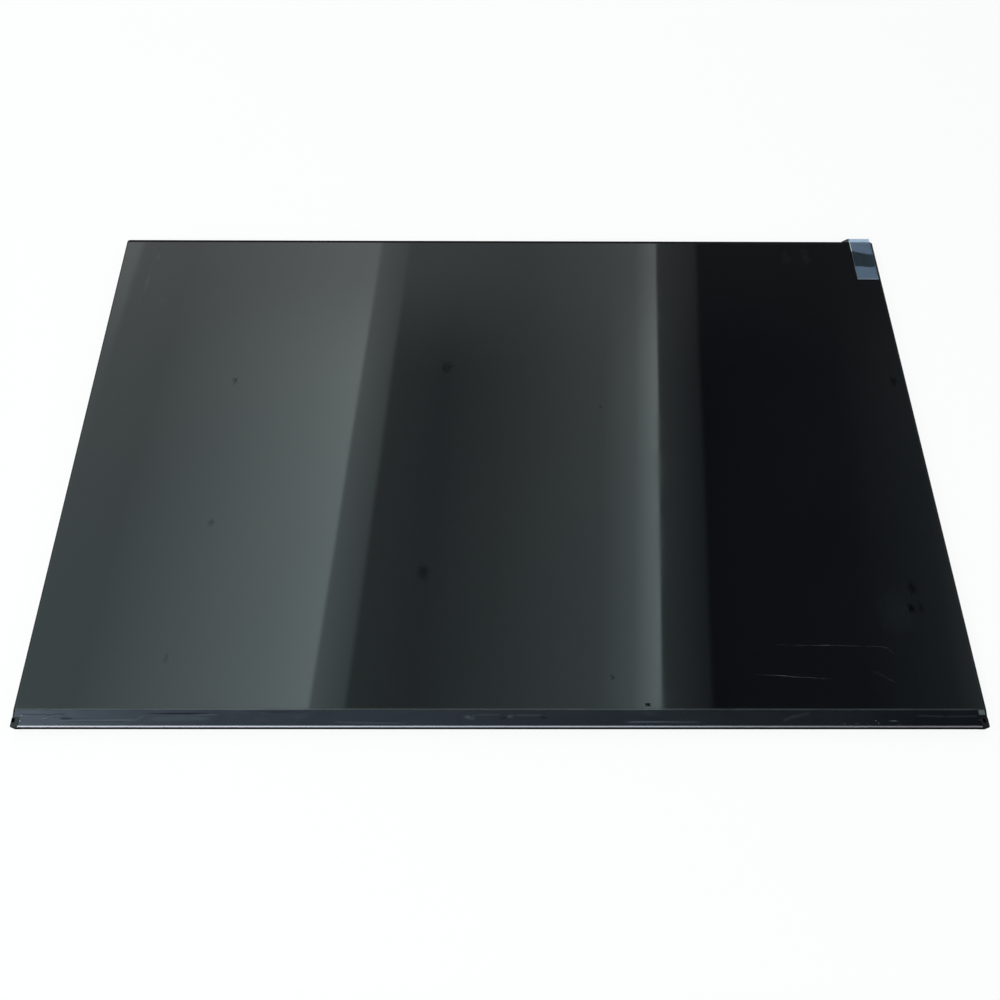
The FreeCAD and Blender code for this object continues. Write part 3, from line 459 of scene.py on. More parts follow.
def clear_tab_film():
    """Thin bluish film: mostly clear, with a blue gloss that shows over black, and painted shade beside its
    turn.
    """
    material, tree, sockets = finish("clear_tab_film", 0.05, IOR=1.75, Transmission_Weight=0.97,
                                     Specular_Tint=rgb(0.36, 0.64, 1.0))
    colour = toned(tree, sockets, rgb(0.53, 0.64, 0.77), rgb(0.58, 0.69, 0.81), 180.0, 1200.0)
    # Painted shade: the flared part beside the turn, where the tab goes down over the far edge, is tinted
    # dark
    turned = between(tree, "Z", SCREEN_TOP, FLAP_LEVELS)
    beside = between(tree, "X", tab_high.x - TAB_WIDTH * MM, FLAP_SIDE)
    put(sockets["Base Color"], tinted(tree, colour, turned, beside, rgb(0.06, 0.07, 0.07)))
    dust = use(tree, DUST, "Mask", Spacing=600.0, Share=0.15, Size=0.12)
    put(sockets["Roughness"], maths(tree, "ADD", 0.05, maths(tree, "MULTIPLY", dust, 0.3)))
    bumped(tree, sockets, use(tree, FILM_RIPPLE, "Height", Scale=260.0), 0.00003)
    return material


def tab_cut_edge():
    """The tab's frosted cut rim: dim along its sides, with painted highlights that make it paler at its free
    end and palest at the far left.
    """
    material, tree, sockets = finish("tab_cut_edge", 0.4, IOR=1.5)
    colour = toned(tree, sockets, rgb(0.05, 0.065, 0.08), rgb(0.09, 0.11, 0.13), 250.0, 2500.0)
    # Painted highlights on the rim: paler at the free end, palest at the far left near the far edge
    colour = mix_colour(tree, between(tree, "Y", tab_low.y, RIM_END_HIGHLIGHT), colour, rgb(0.28, 0.34, 0.38))
    bend_highlight = between(tree, "Y", FAR_EDGE, RIM_BEND_HIGHLIGHT)
    left_side = maths(tree, "LESS_THAN", place_along(tree, "X"), (tab_low.x + tab_high.x) / 2)
    put(sockets["Base Color"], tinted(tree, colour, bend_highlight, left_side, rgb(0.86, 0.92, 0.93)))
    return material


def solder_mask():
    """Green lacquer over copper: bundles of tracks run along or across the board."""
    material, tree, sockets = finish("solder_mask", 0.28, IOR=1.5)
    place = object_place(tree)
    blocks = add(tree, "ShaderNodeTexVoronoi", {"Vector": place, "Scale": 120.0}, distance="MANHATTAN")
    along = add(tree, "ShaderNodeTexWave", {"Vector": place, "Scale": 260.0}, bands_direction="Y")
    over = add(tree, "ShaderNodeTexWave", {"Vector": place, "Scale": 260.0}, bands_direction="X")
    turn = add(tree, "ShaderNodeSeparateColor", {0: blocks.outputs["Color"]})
    across_here = maths(tree, "GREATER_THAN", turn.outputs["Red"], 0.62)
    bands = add(tree, "ShaderNodeMix", {0: across_here, 2: along.outputs["Fac"], 3: over.outputs["Fac"]})
    tracks = remap(tree, bands.outputs[0], 0.52, 0.66)
    bare = maths(tree, "GREATER_THAN", turn.outputs["Green"], 0.72)
    tracks = maths(tree, "MULTIPLY", tracks, maths(tree, "SUBTRACT", 1.0, bare))
    lacquer = two_tones(tree, rgb(0.006, 0.055, 0.028), rgb(0.010, 0.075, 0.036), 80.0, 1500.0)
    put(sockets["Base Color"], mix_colour(tree, tracks, lacquer, rgb(0.018, 0.13, 0.055)))
    bumped(tree, sockets, tracks, 0.00002)
    return material


def flexible_circuit():
    """Amber film with fine copper lines that run round the bend, and a dark lacquer beside the glass."""
    material, tree, sockets = finish("flexible_circuit", 0.3, IOR=1.5)
    lines = {"Vector": object_place(tree), "Scale": 1100.0}
    wave = add(tree, "ShaderNodeTexWave", lines, bands_direction="X").outputs["Fac"]
    copper = remap(tree, wave, 0.5, 0.7)
    amber = two_tones(tree, rgb(0.16, 0.065, 0.012), rgb(0.22, 0.09, 0.018), 120.0, 1500.0)
    colour = mix_colour(tree, copper, amber, rgb(0.34, 0.16, 0.045))
    lacquer = between(tree, "Z", tape_low.z, FLEX_LACQUER)
    put(sockets["Base Color"], mix_colour(tree, lacquer, colour, rgb(0.006, 0.006, 0.008)))
    bumped(tree, sockets, copper, 0.00001)
    return material


def chip_moulding(name, first, second, roughness):
    material, tree, sockets = finish(name, roughness, IOR=1.5)
    colour = toned(tree, sockets, first, second, 300.0, 4000.0)
    worn = use(tree, RUBBED_EDGE, "Mask", Reach=0.00008, Breaks=900.0)
    put(sockets["Base Color"], tinted(tree, colour, worn, 0.4, grey(0.12)))
    bumped(tree, sockets, noise_value(tree, object_place(tree), 6000.0, 2.0), 0.00001)
    return material


def tinned_ends(material, row):
    """Tins the ends of a row of small components and returns their finish."""
    first, pitch, bare = row
    tree = material.node_tree
    sockets = tree.nodes["Principled BSDF"].inputs
    colour = sockets["Base Color"].links[0].from_socket
    from_first = maths(tree, "SUBTRACT", place_along(tree, "X"), first * MM)
    off_centre = maths(tree, "PINGPONG", from_first, pitch / 2 * MM)
    tin = maths(tree, "GREATER_THAN", off_centre, bare * MM)
    put(sockets["Base Color"], mix_colour(tree, tin, colour, rgb(0.60, 0.59, 0.57)))
    put(sockets["Metallic"], tin)
    return material


def satin_sheet(name, first, second, roughness):
    """The layers behind the glass: even, pale and softly shining."""
    material, tree, sockets = finish(name, roughness, IOR=1.5)
    toned(tree, sockets, first, second, 25.0, 1600.0)
    uneven_roughness(tree, sockets, 60.0, roughness * 0.85, roughness * 1.15)
    return material


def mark_on_film(name, first, second, roughness, shine=0.5):
    """A mark that fades out to its rim by the cover stored in the mesh: dirt, smears and scratches on the
    film, pale flecks and patches of painted shade on the tape.
    """
    material, tree, sockets = finish(name, roughness, IOR=1.4, Specular_IOR_Level=shine)
    toned(tree, sockets, first, second, 700.0, 4000.0)
    cover = add(tree, "ShaderNodeAttribute", attribute_name="cover").outputs["Fac"]
    broken = remap(tree, noise_value(tree, object_place(tree), 1800.0, 3.0), 0.25, 0.65, 0.35, 1.0)
    put(sockets["Alpha"], maths(tree, "MULTIPLY", cover, broken))
    return material


# Meshes


def add_piece(name, shape, material, replaced=None, crease=40.0):
    """Turns a finished bmesh into a piece that rides on the panel."""
    mesh = bpy.data.meshes.new(name)
    shape.to_mesh(mesh)
    shape.free()
    mesh.shade_smooth()
    mesh.set_sharp_from_angle(angle=math.radians(crease))
    mesh.materials.append(material)
    piece = bpy.data.objects.new(name, mesh)
    scene.collection.objects.link(piece)
    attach(piece, BODY)
    if replaced:
        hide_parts(replaced)


def spread(low, high, step):
    """Even stations from low to high, about a step apart."""
    count = max(1, round((high - low) / step))
    return [low + (high - low) * i / count for i in range(count + 1)]


def closed_sheet(across, along, upper, lower, kept=lambda x, y: True):
    """A closed thin sheet: two skins over one grid, joined round every rim of the kept cells."""
    cells = set()
    for i in range(len(across) - 1):
        for j in range(len(along) - 1):
            if kept((across[i] + across[i + 1]) / 2, (along[j] + along[j + 1]) / 2):
                cells.add((i, j))
    shape = bmesh.new()
    made = {}

    def corner(skin, spot):
        if (skin, spot) not in made:
            made[skin, spot] = shape.verts.new(skin(across[spot[0]], along[spot[1]]))
        return made[skin, spot]

    for i, j in sorted(cells):
        ring = [(i, j), (i + 1, j), (i + 1, j + 1), (i, j + 1)]
        shape.faces.new([corner(upper, spot) for spot in ring])
        shape.faces.new([corner(lower, spot) for spot in reversed(ring)])
        beyond = [(i, j - 1), (i + 1, j), (i, j + 1), (i - 1, j)]
        for start, end, neighbour in zip(ring, ring[1:] + ring[:1], beyond):
            if neighbour not in cells:
                rim = [corner(upper, end), corner(upper, start), corner(lower, start), corner(lower, end)]
                shape.faces.new(rim)
    return shape


def full_turn(sides):
    return [2.0 * math.pi * side / sides for side in range(sides)]


def join_rings(shape, rings):
    """Faces between each ring of corners and the next."""
    for before, after in zip(rings, rings[1:]):
        for side in range(len(before)):
            onward = (side + 1) % len(before)
            shape.faces.new([before[side], before[onward], after[onward], after[side]])


def add_fan(shape, hub, ring):
    """Triangles between one corner and a ring."""
    for start, end in zip(ring, ring[1:] + ring[:1]):
        shape.faces.new([hub, start, end])


def add_tube(shape, points, radius, sides):
    """A closed round tube along a line of points."""
    rings = []
    for i, place in enumerate(points):
        along = (points[min(i + 1, len(points) - 1)] - points[max(i - 1, 0)]).normalized()
        over = along.cross(Vector((0.0, 0.0, 1.0))).normalized()
        up = over.cross(along)
        spokes = [over * math.cos(turn) + up * math.sin(turn) for turn in full_turn(sides)]
        rings.append([shape.verts.new(place + spoke * radius) for spoke in spokes])
    join_rings(shape, rings)
    shape.faces.new(rings[0][::-1])
    shape.faces.new(rings[-1])


def smooth_share(low, high, value):
    share = min(1.0, max(0.0, (value - low) / (high - low)))
    return share * share * (3.0 - 2.0 * share)


def distance_to_run(point, start, end):
    """How far a point lies from a straight run, and how far along the run it is (0 to 1)."""
    run = end - start
    share = min(1.0, max(0.0, (point - start).dot(run) / run.length_squared))
    return (point - start - run * share).length, share


# Cover tape over the glass ledge, in millimetres: places are from the middle and from the near edge

TAPE_GRID_X = 0.8
TAPE_GRID_Y = 0.1
TAPE_RIM = 0.4
TAPE_DEEPEST = -0.03
# Fold height at which a crest's painted highlight is full
TAPE_HIGHLIGHT_RISE = 0.05
TAPE_TILT = 0.0105
TAPE_TILT_MIDDLE = 2.6
TAPE_UNEVEN = 0.006
TAPE_UNEVEN_X = 0.12
TAPE_UNEVEN_Y = 0.5
TAPE_GAP = 0.1
EAR_TOP = 3.65
FOLD_FADE = 0.12
FOLD_END_SHARE = 0.3
FLECK_HEIGHT = 0.02
# Folds where the tape bridges or dips: start, end, height and half width
TAPE_FOLDS = [
    ((-172.1, 4.43), (-163.0, 4.30), 0.020, 0.26), ((-172.1, 4.53), (-172.5, 2.07), 0.030, 0.18),
    ((-164.2, 3.30), (-160.9, 4.11), 0.030, 0.42), ((-161.2, 4.05), (-157.8, 4.40), 0.030, 0.40),
    ((-158.0, 3.70), (-154.0, 3.07), -0.007, 0.50), ((-157.2, 2.60), (-130.8, 2.60), 0.030, 0.42),
    ((-130.8, 2.60), (-128.3, 4.14), 0.012, 0.45), ((-126.0, 3.00), (-104.0, 3.00), 0.010, 0.80),
    ((-128.8, 4.95), (-101.8, 4.90), -0.018, 0.40),
    ((-13.2, 4.00), (-10.8, 3.86), 0.026, 0.60), ((-12.6, 3.65), (-9.9, 2.79), 0.010, 0.35),
    ((-9.8, 2.79), (-9.8, 4.61), 0.016, 0.30), ((-9.6, 4.60), (0.0, 4.60), 0.012, 0.28),
    ((-0.6, 3.75), (2.0, 3.32), -0.015, 0.45), ((2.6, 4.10), (4.4, 3.97), 0.022, 0.50),
    ((4.6, 4.40), (14.6, 4.40), 0.012, 0.28), ((14.0, 3.75), (16.6, 3.43), -0.015, 0.45),
    ((101.4, 2.60), (105.8, 4.20), 0.007, 0.55), ((105.2, 4.05), (111.4, 5.20), 0.007, 0.55),
    ((149.6, 4.31), (160.0, 3.95), 0.009, 0.30), ((160.0, 3.95), (172.0, 4.07), 0.008, 0.28),
    ((-60.0, 1.93), (-34.0, 1.72), 0.014, 0.30), ((44.0, 1.82), (72.0, 2.04), 0.014, 0.30),
]
# Pale flecks on the tape: place, half width, half depth and cover
TAPE_FLECKS = [
    (123.2, 1.53, 0.45, 0.22, 0.60), (127.8, 1.46, 0.30, 0.20, 0.55), (131.5, 1.32, 0.25, 0.18, 0.35),
    (134.7, 2.42, 0.55, 0.20, 0.45), (135.5, 1.61, 0.25, 0.35, 0.40), (141.2, 2.42, 2.50, 0.16, 0.50),
    (143.0, 1.15, 0.60, 0.16, 0.45), (147.3, 2.28, 0.30, 0.18, 0.35), (172.2, 2.85, 0.25, 0.20, 0.50),
    (-172.0, 4.32, 0.30, 0.26, 0.80), (-172.3, 2.39, 0.36, 0.40, 1.00), (-167.9, 5.90, 0.22, 0.25, 0.35),
]
# Patches of painted shade on the tape: the same
TAPE_PAINTED_SHADES = [
    (-115.3, 4.95, 15.0, 0.55, 0.55), (-156.0, 3.40, 3.4, 0.55, 0.28), (0.8, 3.50, 1.6, 0.45, 0.45),
    (15.4, 3.55, 1.6, 0.45, 0.45), (-82.0, 5.60, 16.0, 0.50, 0.25),
]


def tape_relief(x, y):
    """Height of the tape over its flat face, and how far its crests are painted pale as a highlight."""
    height = 0.0
    for start, end, crest, width in TAPE_FOLDS:
        reach, share = distance_to_run(Vector((x, y)), Vector(start), Vector(end))
        fade = smooth_share(0.0, FOLD_FADE, share) * smooth_share(1.0, 1.0 - FOLD_FADE, share)
        kept = FOLD_END_SHARE + (1.0 - FOLD_END_SHARE) * fade
        height += crest * math.exp(-((reach / width) ** 2)) * kept
    # Painted highlight: the higher the fold, the paler its crest is painted
    lightened = min(1.0, max(0.0, height / TAPE_HIGHLIGHT_RISE))
    uneven = TAPE_UNEVEN * noise.noise(Vector((x * TAPE_UNEVEN_X, y * TAPE_UNEVEN_Y, 3.0)))
    return max(TAPE_DEEPEST, height + uneven), lightened


def tape_tilt(y):
    """How far the tape rises towards the glass."""
    return TAPE_TILT * (y - TAPE_TILT_MIDDLE)


def folded_cover_tape():
    """The cover tape with its bridges and dips, cut round the ears and the pad."""
    gap = TAPE_GAP * MM
    ear_x = rail_high.x - gap / 2
    ear_y = NEAR_EDGE + EAR_TOP * MM
    pad_x = pad_low.x - gap
    pad_y = pad_low.y - gap
    across = sorted(set(spread(-ear_x, ear_x, TAPE_GRID_X * MM)) | {tape_low.x, tape_high.x, pad_x})
    along = sorted(set(spread(tape_low.y, tape_high.y, TAPE_GRID_Y * MM)) | {ear_y, pad_y})

    def kept(x, y):
        beside_ear = abs(x) > ear_x and y < ear_y
        under_pad = x > pad_x and y > pad_y
        return not beside_ear and not under_pad

    def upper(x, y):
        rim = min(x - tape_low.x, tape_high.x - x, y - tape_low.y, tape_high.y - y)
        from_near = (y - NEAR_EDGE) / MM
        height = smooth_share(0.0, TAPE_RIM * MM, rim) * tape_relief(x / MM, from_near)[0]
        return Vector((x, y, tape_high.z + max(TAPE_DEEPEST, height + tape_tilt(from_near)) * MM))

    def lower(x, y):
        return Vector((x, y, tape_low.z))

    shape = closed_sheet(across, along, upper, lower, kept)
    # How far each corner's crest carries the painted highlight
    crest = shape.verts.layers.float.new("crest")
    for corner in shape.verts:
        corner[crest] = tape_relief(corner.co.x / MM, (corner.co.y - NEAR_EDGE) / MM)[1]
    add_piece("cover_tape", shape, ledge_tape_gloss(), "ledge_cover_tape")


def on_tape(x, y):
    height = max(0.0, tape_relief(x, y)[0] + tape_tilt(y))
    return Vector((x * MM, NEAR_EDGE + y * MM, tape_high.z + height * MM))


def marks_on_tape():
    """Pale flecks and broad patches of painted shade along the cover tape."""
    pale = mark_on_film("tape_fleck", rgb(0.20, 0.22, 0.24), rgb(0.32, 0.34, 0.36), 0.6)
    # Painted shade: dark patches with no shine that dull the tape's gloss
    painted_shade = mark_on_film("tape_painted_shade", rgb(0.003, 0.003, 0.005), rgb(0.006, 0.006, 0.009), 0.8, 0.0)
    add_lenses("tape_flecks", TAPE_FLECKS, on_tape, FLECK_HEIGHT, pale)
    add_lenses("tape_painted_shades", TAPE_PAINTED_SHADES, on_tape, FLECK_HEIGHT, painted_shade)


# Pull tab, in millimetres: distances from the far edge and rises over the screen

TAB_THICKNESS = 0.10
TAB_WIDTH = 9.6
TAB_CURL = 0.50
TAB_WAVE = 0.30
TAB_WAVE_TURN = 7.0
TAB_LIFT_START = 15.2
TAB_PEAK_LEFT = 6.75
TAB_PEAK_RIGHT = 9.6
TAB_SHOULDER = 1.3
TAB_PEAK_RISE = 1.13
TAB_SHOULDER_RISE = 0.80
TAB_TURN_RISE = -0.05
TAB_REAR_LENGTH = 6.0
TAB_FLARE = 3.2
TAB_FLARE_RIGHT = 0.8
TAB_RADII = [0.6, 0.35, 0.35, 0.6, 1.2]
TAB_BEND_STEPS = 5
TAB_RUN_STEPS = 6
TAB_COLUMNS = 16
TAB_RIPPLE = 0.006
TAB_RIPPLE_SIZE = 1.5
TAB_CREASE = 25.0
TAB_LEAN = 0.45
TAB_PULL_IN = 0.1
TAB_EDGE_RADIUS = 0.10
TAB_EDGE_DROP = 0.035
TAB_EDGE_SIDES = 6


def rounded_line(corners, radii):
    """Points along a line whose inner corners are rounded; the count is the same for any such line."""
    points = []
    leave = corners[0]
    for before, corner, after, radius in zip(corners, corners[1:], corners[2:], radii):
        back = (before - corner).normalized()
        onward = (after - corner).normalized()
        setback = radius * math.tan((math.pi - back.angle(onward)) / 2)
        start = corner + back * setback
        end = corner + onward * setback
        points += [leave.lerp(start, share) for share in spread(0.0, 1.0, 1.0 / TAB_RUN_STEPS)[:-1]]
        for share in spread(0.0, 1.0, 1.0 / TAB_BEND_STEPS)[:-1]:
            points.append(start.lerp(corner, share).lerp(corner.lerp(end, share), share))
        leave = end
    return points + [leave.lerp(corners[-1], share) for share in spread(0.0, 1.0, 1.0 / TAB_RUN_STEPS)]


def tab_line(share_across):
    """The tab's middle line at one place across it, as (y, z) points from the free end to the back."""
    half = TAB_THICKNESS * MM / 2
    bed = SCREEN_TOP + half
    rear = tab_low.z + half
    outer = tab_high.y - half - TAB_PULL_IN * MM
    lift = FAR_EDGE - (TAB_LIFT_START - TAB_WAVE * math.sin(share_across * TAB_WAVE_TURN)) * MM
    peak = FAR_EDGE - (TAB_PEAK_LEFT + (TAB_PEAK_RIGHT - TAB_PEAK_LEFT) * share_across) * MM
    corners = [
        (tab_low.y, bed + TAB_CURL * MM),
        (lift, bed),
        (peak, bed + TAB_PEAK_RISE * MM),
        (FAR_EDGE - TAB_SHOULDER * MM, bed + TAB_SHOULDER_RISE * MM),
        (outer, bed + TAB_TURN_RISE * MM),
        (outer, rear),
        (FAR_EDGE - TAB_REAR_LENGTH * MM, rear),
    ]
    return rounded_line([Vector(corner) for corner in corners], [radius * MM for radius in TAB_RADII])


def creased_pull_tab():
    """The clear strip: curled at its free end, creased and turned over the far edge, with a cut rim that
    carries painted highlights.
    """
    half = TAB_THICKNESS * MM / 2
    columns = spread(0.0, 1.0, 1.0 / TAB_COLUMNS)
    lines = {share: tab_line(share) for share in columns}
    rows = list(range(len(lines[0.0])))
    turn_level = SCREEN_TOP + (TAB_TURN_RISE + TAB_THICKNESS) * MM
    plate_level = tab_low.z + TAB_THICKNESS * MM
    shoulder_row = next(i for i, point in enumerate(lines[0.0]) if point.x > FAR_EDGE - TAB_SHOULDER * MM)

    def middle(share, row):
        y, z = lines[share][row]
        widening = 0.0
        if row > shoulder_row:
            widening = min(1.0, max(0.0, (turn_level - z) / (turn_level - plate_level)))
        left = tab_high.x - (TAB_WIDTH + widening * TAB_FLARE) * MM
        right = tab_high.x + widening * TAB_FLARE_RIGHT * MM
        raised = min(1.0, max(0.0, (z - SCREEN_TOP - half) / (TAB_PEAK_RISE * MM)))
        x = left + (right - left) * share - raised * TAB_LEAN * MM
        ripple = TAB_RIPPLE * MM * noise.noise(Vector((x, y, 0.0)) / (TAB_RIPPLE_SIZE * MM))
        return Vector((x, y, z + ripple))

    def outward(share, row):
        along = middle(share, min(row + 1, rows[-1])) - middle(share, max(row - 1, 0))
        return Vector((0.0, -along.z, along.y)).normalized()

    def upper(share, row):
        return middle(share, row) + outward(share, row) * half

    def lower(share, row):
        return middle(share, row) - outward(share, row) * half

    shape = closed_sheet(columns, rows, upper, lower)
    add_piece("clear_tab", shape, clear_tab_film(), "pull_tab", crease=TAB_CREASE)
    rim = [middle(0.0, row) for row in range(shoulder_row, 0, -1)]
    rim += [middle(share, 0) for share in columns]
    rim += [middle(1.0, row) for row in range(1, shoulder_row - TAB_RUN_STEPS)]
    rim = [place - Vector((0.0, 0.0, TAB_EDGE_DROP * MM)) for place in rim]
    shape = bmesh.new()
    add_tube(shape, rim, TAB_EDGE_RADIUS * MM, TAB_EDGE_SIDES)
    add_piece("tab_cut_edge", shape, tab_cut_edge())


# Marks on the film, in millimetres

MARK_HEIGHT = 0.012
LENS_RINGS = 5
LENS_SIDES = 20
LENS_WOBBLE = 0.18
LENS_DENSE_SHARE = 0.25
LENS_SEED_X = 7919
LENS_SEED_Y = 104729
LENS_SEED_SCALE = 1e4
SCRATCH_STEP = 0.125
SCRATCH_END = 0.04
SCRATCH_GRAIN = 300.0
SCRATCH_MEAN = 0.55
SCRATCH_SWING = 0.9
SCRATCH_FAINTEST = 0.15
# Dark spots: place, half width, half depth and cover
FILM_SPOTS = [
    (-114.6, 34.3, 1.6, 2.2, 0.18), (-23.5, 41.5, 3.5, 4.3, 0.26), (42.7, 21.5, 0.7, 1.0, 0.32),
    (-115.2, -33.0, 1.4, 1.8, 0.20), (-30.1, -54.3, 3.3, 3.8, 0.32), (40.7, -95.3, 1.0, 1.2, 0.34),
    (53.1, -105.3, 1.4, 0.9, 0.95), (170.0, 34.7, 2.0, 3.0, 0.40), (158.4, -60.0, 2.1, 3.4, 0.42),
    (156.2, -68.6, 1.6, 2.1, 0.45), (160.1, -68.3, 1.5, 2.0, 0.42), (-123.8, -88.3, 1.4, 1.6, 0.16),
]
# Scratches: points along each one, half width and cover
FILM_SCRATCHES = [
    ([(102.7, -82.9), (111.0, -83.2), (122.0, -83.1), (134.0, -83.4), (142.6, -83.6)], 0.11, 0.34),
    ([(142.0, -83.4), (144.2, -84.4), (145.6, -86.0)], 0.10, 0.30),
    ([(93.0, -94.2), (101.0, -94.5), (110.0, -95.2), (121.5, -95.7)], 0.12, 0.42),
    ([(137.0, -93.1), (141.5, -95.2), (145.3, -97.9)], 0.22, 0.20),
    ([(44.7, -57.0), (44.9, -58.6)], 0.10, 0.45),
]
# Pale smears: place, half width, half depth and cover
FILM_SMEARS = [
    (-159.2, 104.0, 0.8, 4.5, 0.030), (-161.9, 88.3, 0.7, 11.5, 0.040), (-153.2, 77.3, 0.9, 1.5, 0.050),
    (133.4, 104.0, 2.2, 6.5, 0.009), (142.4, 104.0, 2.6, 7.0, 0.010), (150.0, -70.0, 9.0, 12.0, 0.006),
]


def add_lens(shape, cover_layer, place, half_x, half_y, height, cover):
    """A low closed mound, thickest and densest in its middle, with an uneven rim: a mark of dirt, a smear, a
    fleck or a patch of painted shade.
    """
    random.seed(int(abs(place.x * LENS_SEED_X + place.y * LENS_SEED_Y) * LENS_SEED_SCALE))
    bends = [LENS_WOBBLE * random.uniform(-1.0, 1.0) for _ in range(LENS_SIDES)]
    rings = []
    for share in spread(0.0, 1.0, 1.0 / LENS_RINGS)[1:]:
        ring = []
        for turn, bend in zip(full_turn(LENS_SIDES), bends):
            reach = share * (1.0 + bend * share)
            x = half_x * reach * math.cos(turn)
            y = half_y * reach * math.sin(turn)
            corner = shape.verts.new(place + Vector((x, y, height * (1.0 - share * share))))
            corner[cover_layer] = cover * (1.0 - smooth_share(LENS_DENSE_SHARE, 1.0, share))
            ring.append(corner)
        rings.append(ring)
    top = shape.verts.new(place + Vector((0.0, 0.0, height)))
    top[cover_layer] = cover
    add_fan(shape, top, rings[0])
    join_rings(shape, rings[::-1])
    add_fan(shape, shape.verts.new(place), rings[-1][::-1])


def add_lenses(name, table, seat, height, material):
    """One piece of many mounds; seat gives the point that each of them lies on."""
    shape = bmesh.new()
    cover_layer = shape.verts.layers.float.new("cover")
    for x, y, half_x, half_y, cover in table:
        add_lens(shape, cover_layer, seat(x, y), half_x * MM, half_y * MM, height * MM, cover)
    add_piece(name, shape, material)


def add_scratch(shape, cover_layer, points, half_width, height, cover):
    """A raised burr along a scratch: a thin closed ridge that fades at both ends."""
    stations = []
    for start, end in zip(points, points[1:]):
        stations += [start.lerp(end, share) for share in spread(0.0, 1.0, SCRATCH_STEP)[:-1]]
    stations.append(points[-1])
    whole = points[-1] - points[0]
    side = Vector((-whole.y, whole.x, 0.0)).normalized()
    last = len(stations) - 1
    rows = []
    for i, place in enumerate(stations):
        taper = math.sin(math.pi * (SCRATCH_END + (1.0 - 2.0 * SCRATCH_END) * i / last)) ** 0.5
        grain = noise.noise(Vector((place.x * SCRATCH_GRAIN, place.y * SCRATCH_GRAIN, 1.0)))
        broken = min(1.0, max(SCRATCH_FAINTEST, SCRATCH_MEAN + SCRATCH_SWING * grain))
        wide = half_width * (0.5 + 0.5 * taper)
        row = [
            shape.verts.new(place - side * wide),
            shape.verts.new(place + Vector((0.0, 0.0, height))),
            shape.verts.new(place + side * wide),
        ]
        row[1][cover_layer] = cover * taper * broken
        rows.append(row)
    join_rings(shape, rows[::-1])
    shape.faces.new([rows[0][0], rows[0][1], rows[0][2]])
    shape.faces.new([rows[-1][2], rows[-1][1], rows[-1][0]])


def on_film(x, y):
    return Vector((x * MM, y * MM, SCREEN_TOP))


def marks_on_film():
    """Dark spots, pale smears and scratches on the clear film."""
    dark = mark_on_film("film_spot_dirt", rgb(0.002, 0.002, 0.003), rgb(0.004, 0.004, 0.005), 0.7, 0.0)
    pale = mark_on_film("film_scratch_burr", rgb(0.22, 0.24, 0.26), rgb(0.36, 0.38, 0.40), 0.5)
    smear = mark_on_film("film_smear", rgb(0.40, 0.43, 0.42), rgb(0.60, 0.63, 0.62), 0.6)
    add_lenses("film_spots", FILM_SPOTS, on_film, MARK_HEIGHT, dark)
    add_lenses("film_smears", FILM_SMEARS, on_film, MARK_HEIGHT, smear)
    shape = bmesh.new()
    cover_layer = shape.verts.layers.float.new("cover")
    for points, half_width, cover in FILM_SCRATCHES:
        line = [on_film(x, y) for x, y in points]
        add_scratch(shape, cover_layer, line, half_width * MM, MARK_HEIGHT * MM, cover)
    add_piece("film_scratches", shape, pale)


# Solder on the board's back, in millimetres

CHIPS = ["timing_chip", "power_chip", "backlight_chip", "memory_chip"]
LEAD_PITCH = 0.55
LEAD_MARGIN = 0.3
LEAD_WIDTH = 0.28
LEAD_REACH = 0.25
LEAD_HEIGHT = 0.30
LEAD_WAIST_REACH = LEAD_REACH * 0.3
LEAD_WAIST_HEIGHT = LEAD_HEIGHT * 0.45
PAD_RADIUS = 0.45
PAD_HEIGHT = 0.04
PAD_RIM = 0.1
PAD_SIDES = 20
PAD_LINE = 8.0
PAD_PLACES = [-138, -133, -128, -60, -55, -50, -45, 25, 30, 35, 40, 45, 115, 120, 125, 130]


def add_lead(shape, foot, outward, along):
    """A wedge of solder between a chip's side and the board; foot is where the side meets the board."""
    ends = []
    for side in (-0.5, 0.5):
        start = foot + along * (side * LEAD_WIDTH * MM)
        toe = start + outward * (LEAD_REACH * MM)
        waist = start + outward * (LEAD_WAIST_REACH * MM) - Vector((0.0, 0.0, LEAD_WAIST_HEIGHT * MM))
        head = start - Vector((0.0, 0.0, LEAD_HEIGHT * MM))
        ends.append([shape.verts.new(place) for place in (start, toe, waist, head)])
    first, second = ends
    shape.faces.new(first)
    shape.faces.new(second[::-1])
    join_rings(shape, ends[::-1])


def chip_leads():
    """Rows of soldered leads round the four chips."""
    shape = bmesh.new()
    for name in CHIPS:
        low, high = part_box(name)
        middle = (low + high) / 2
        half = (high.x - low.x) / 2
        count = int((2 * half / MM - 2 * LEAD_MARGIN) / LEAD_PITCH)
        for outward in (Vector((1, 0, 0)), Vector((0, 1, 0)), Vector((-1, 0, 0)), Vector((0, -1, 0))):
            along = Vector((-outward.y, outward.x, 0.0))
            for i in range(count):
                shift = (i - (count - 1) / 2) * LEAD_PITCH * MM
                foot = Vector((middle.x, middle.y, board_low.z)) + outward * half + along * shift
                add_lead(shape, foot, outward, along)
    bmesh.ops.recalc_face_normals(shape, faces=shape.faces)
    tin = rolled_metal("soldered_tin", rgb(0.52, 0.52, 0.51), rgb(0.64, 0.64, 0.62), 0.25, 0.4, EVEN_GRAIN)
    add_piece("chip_leads", shape, tin)


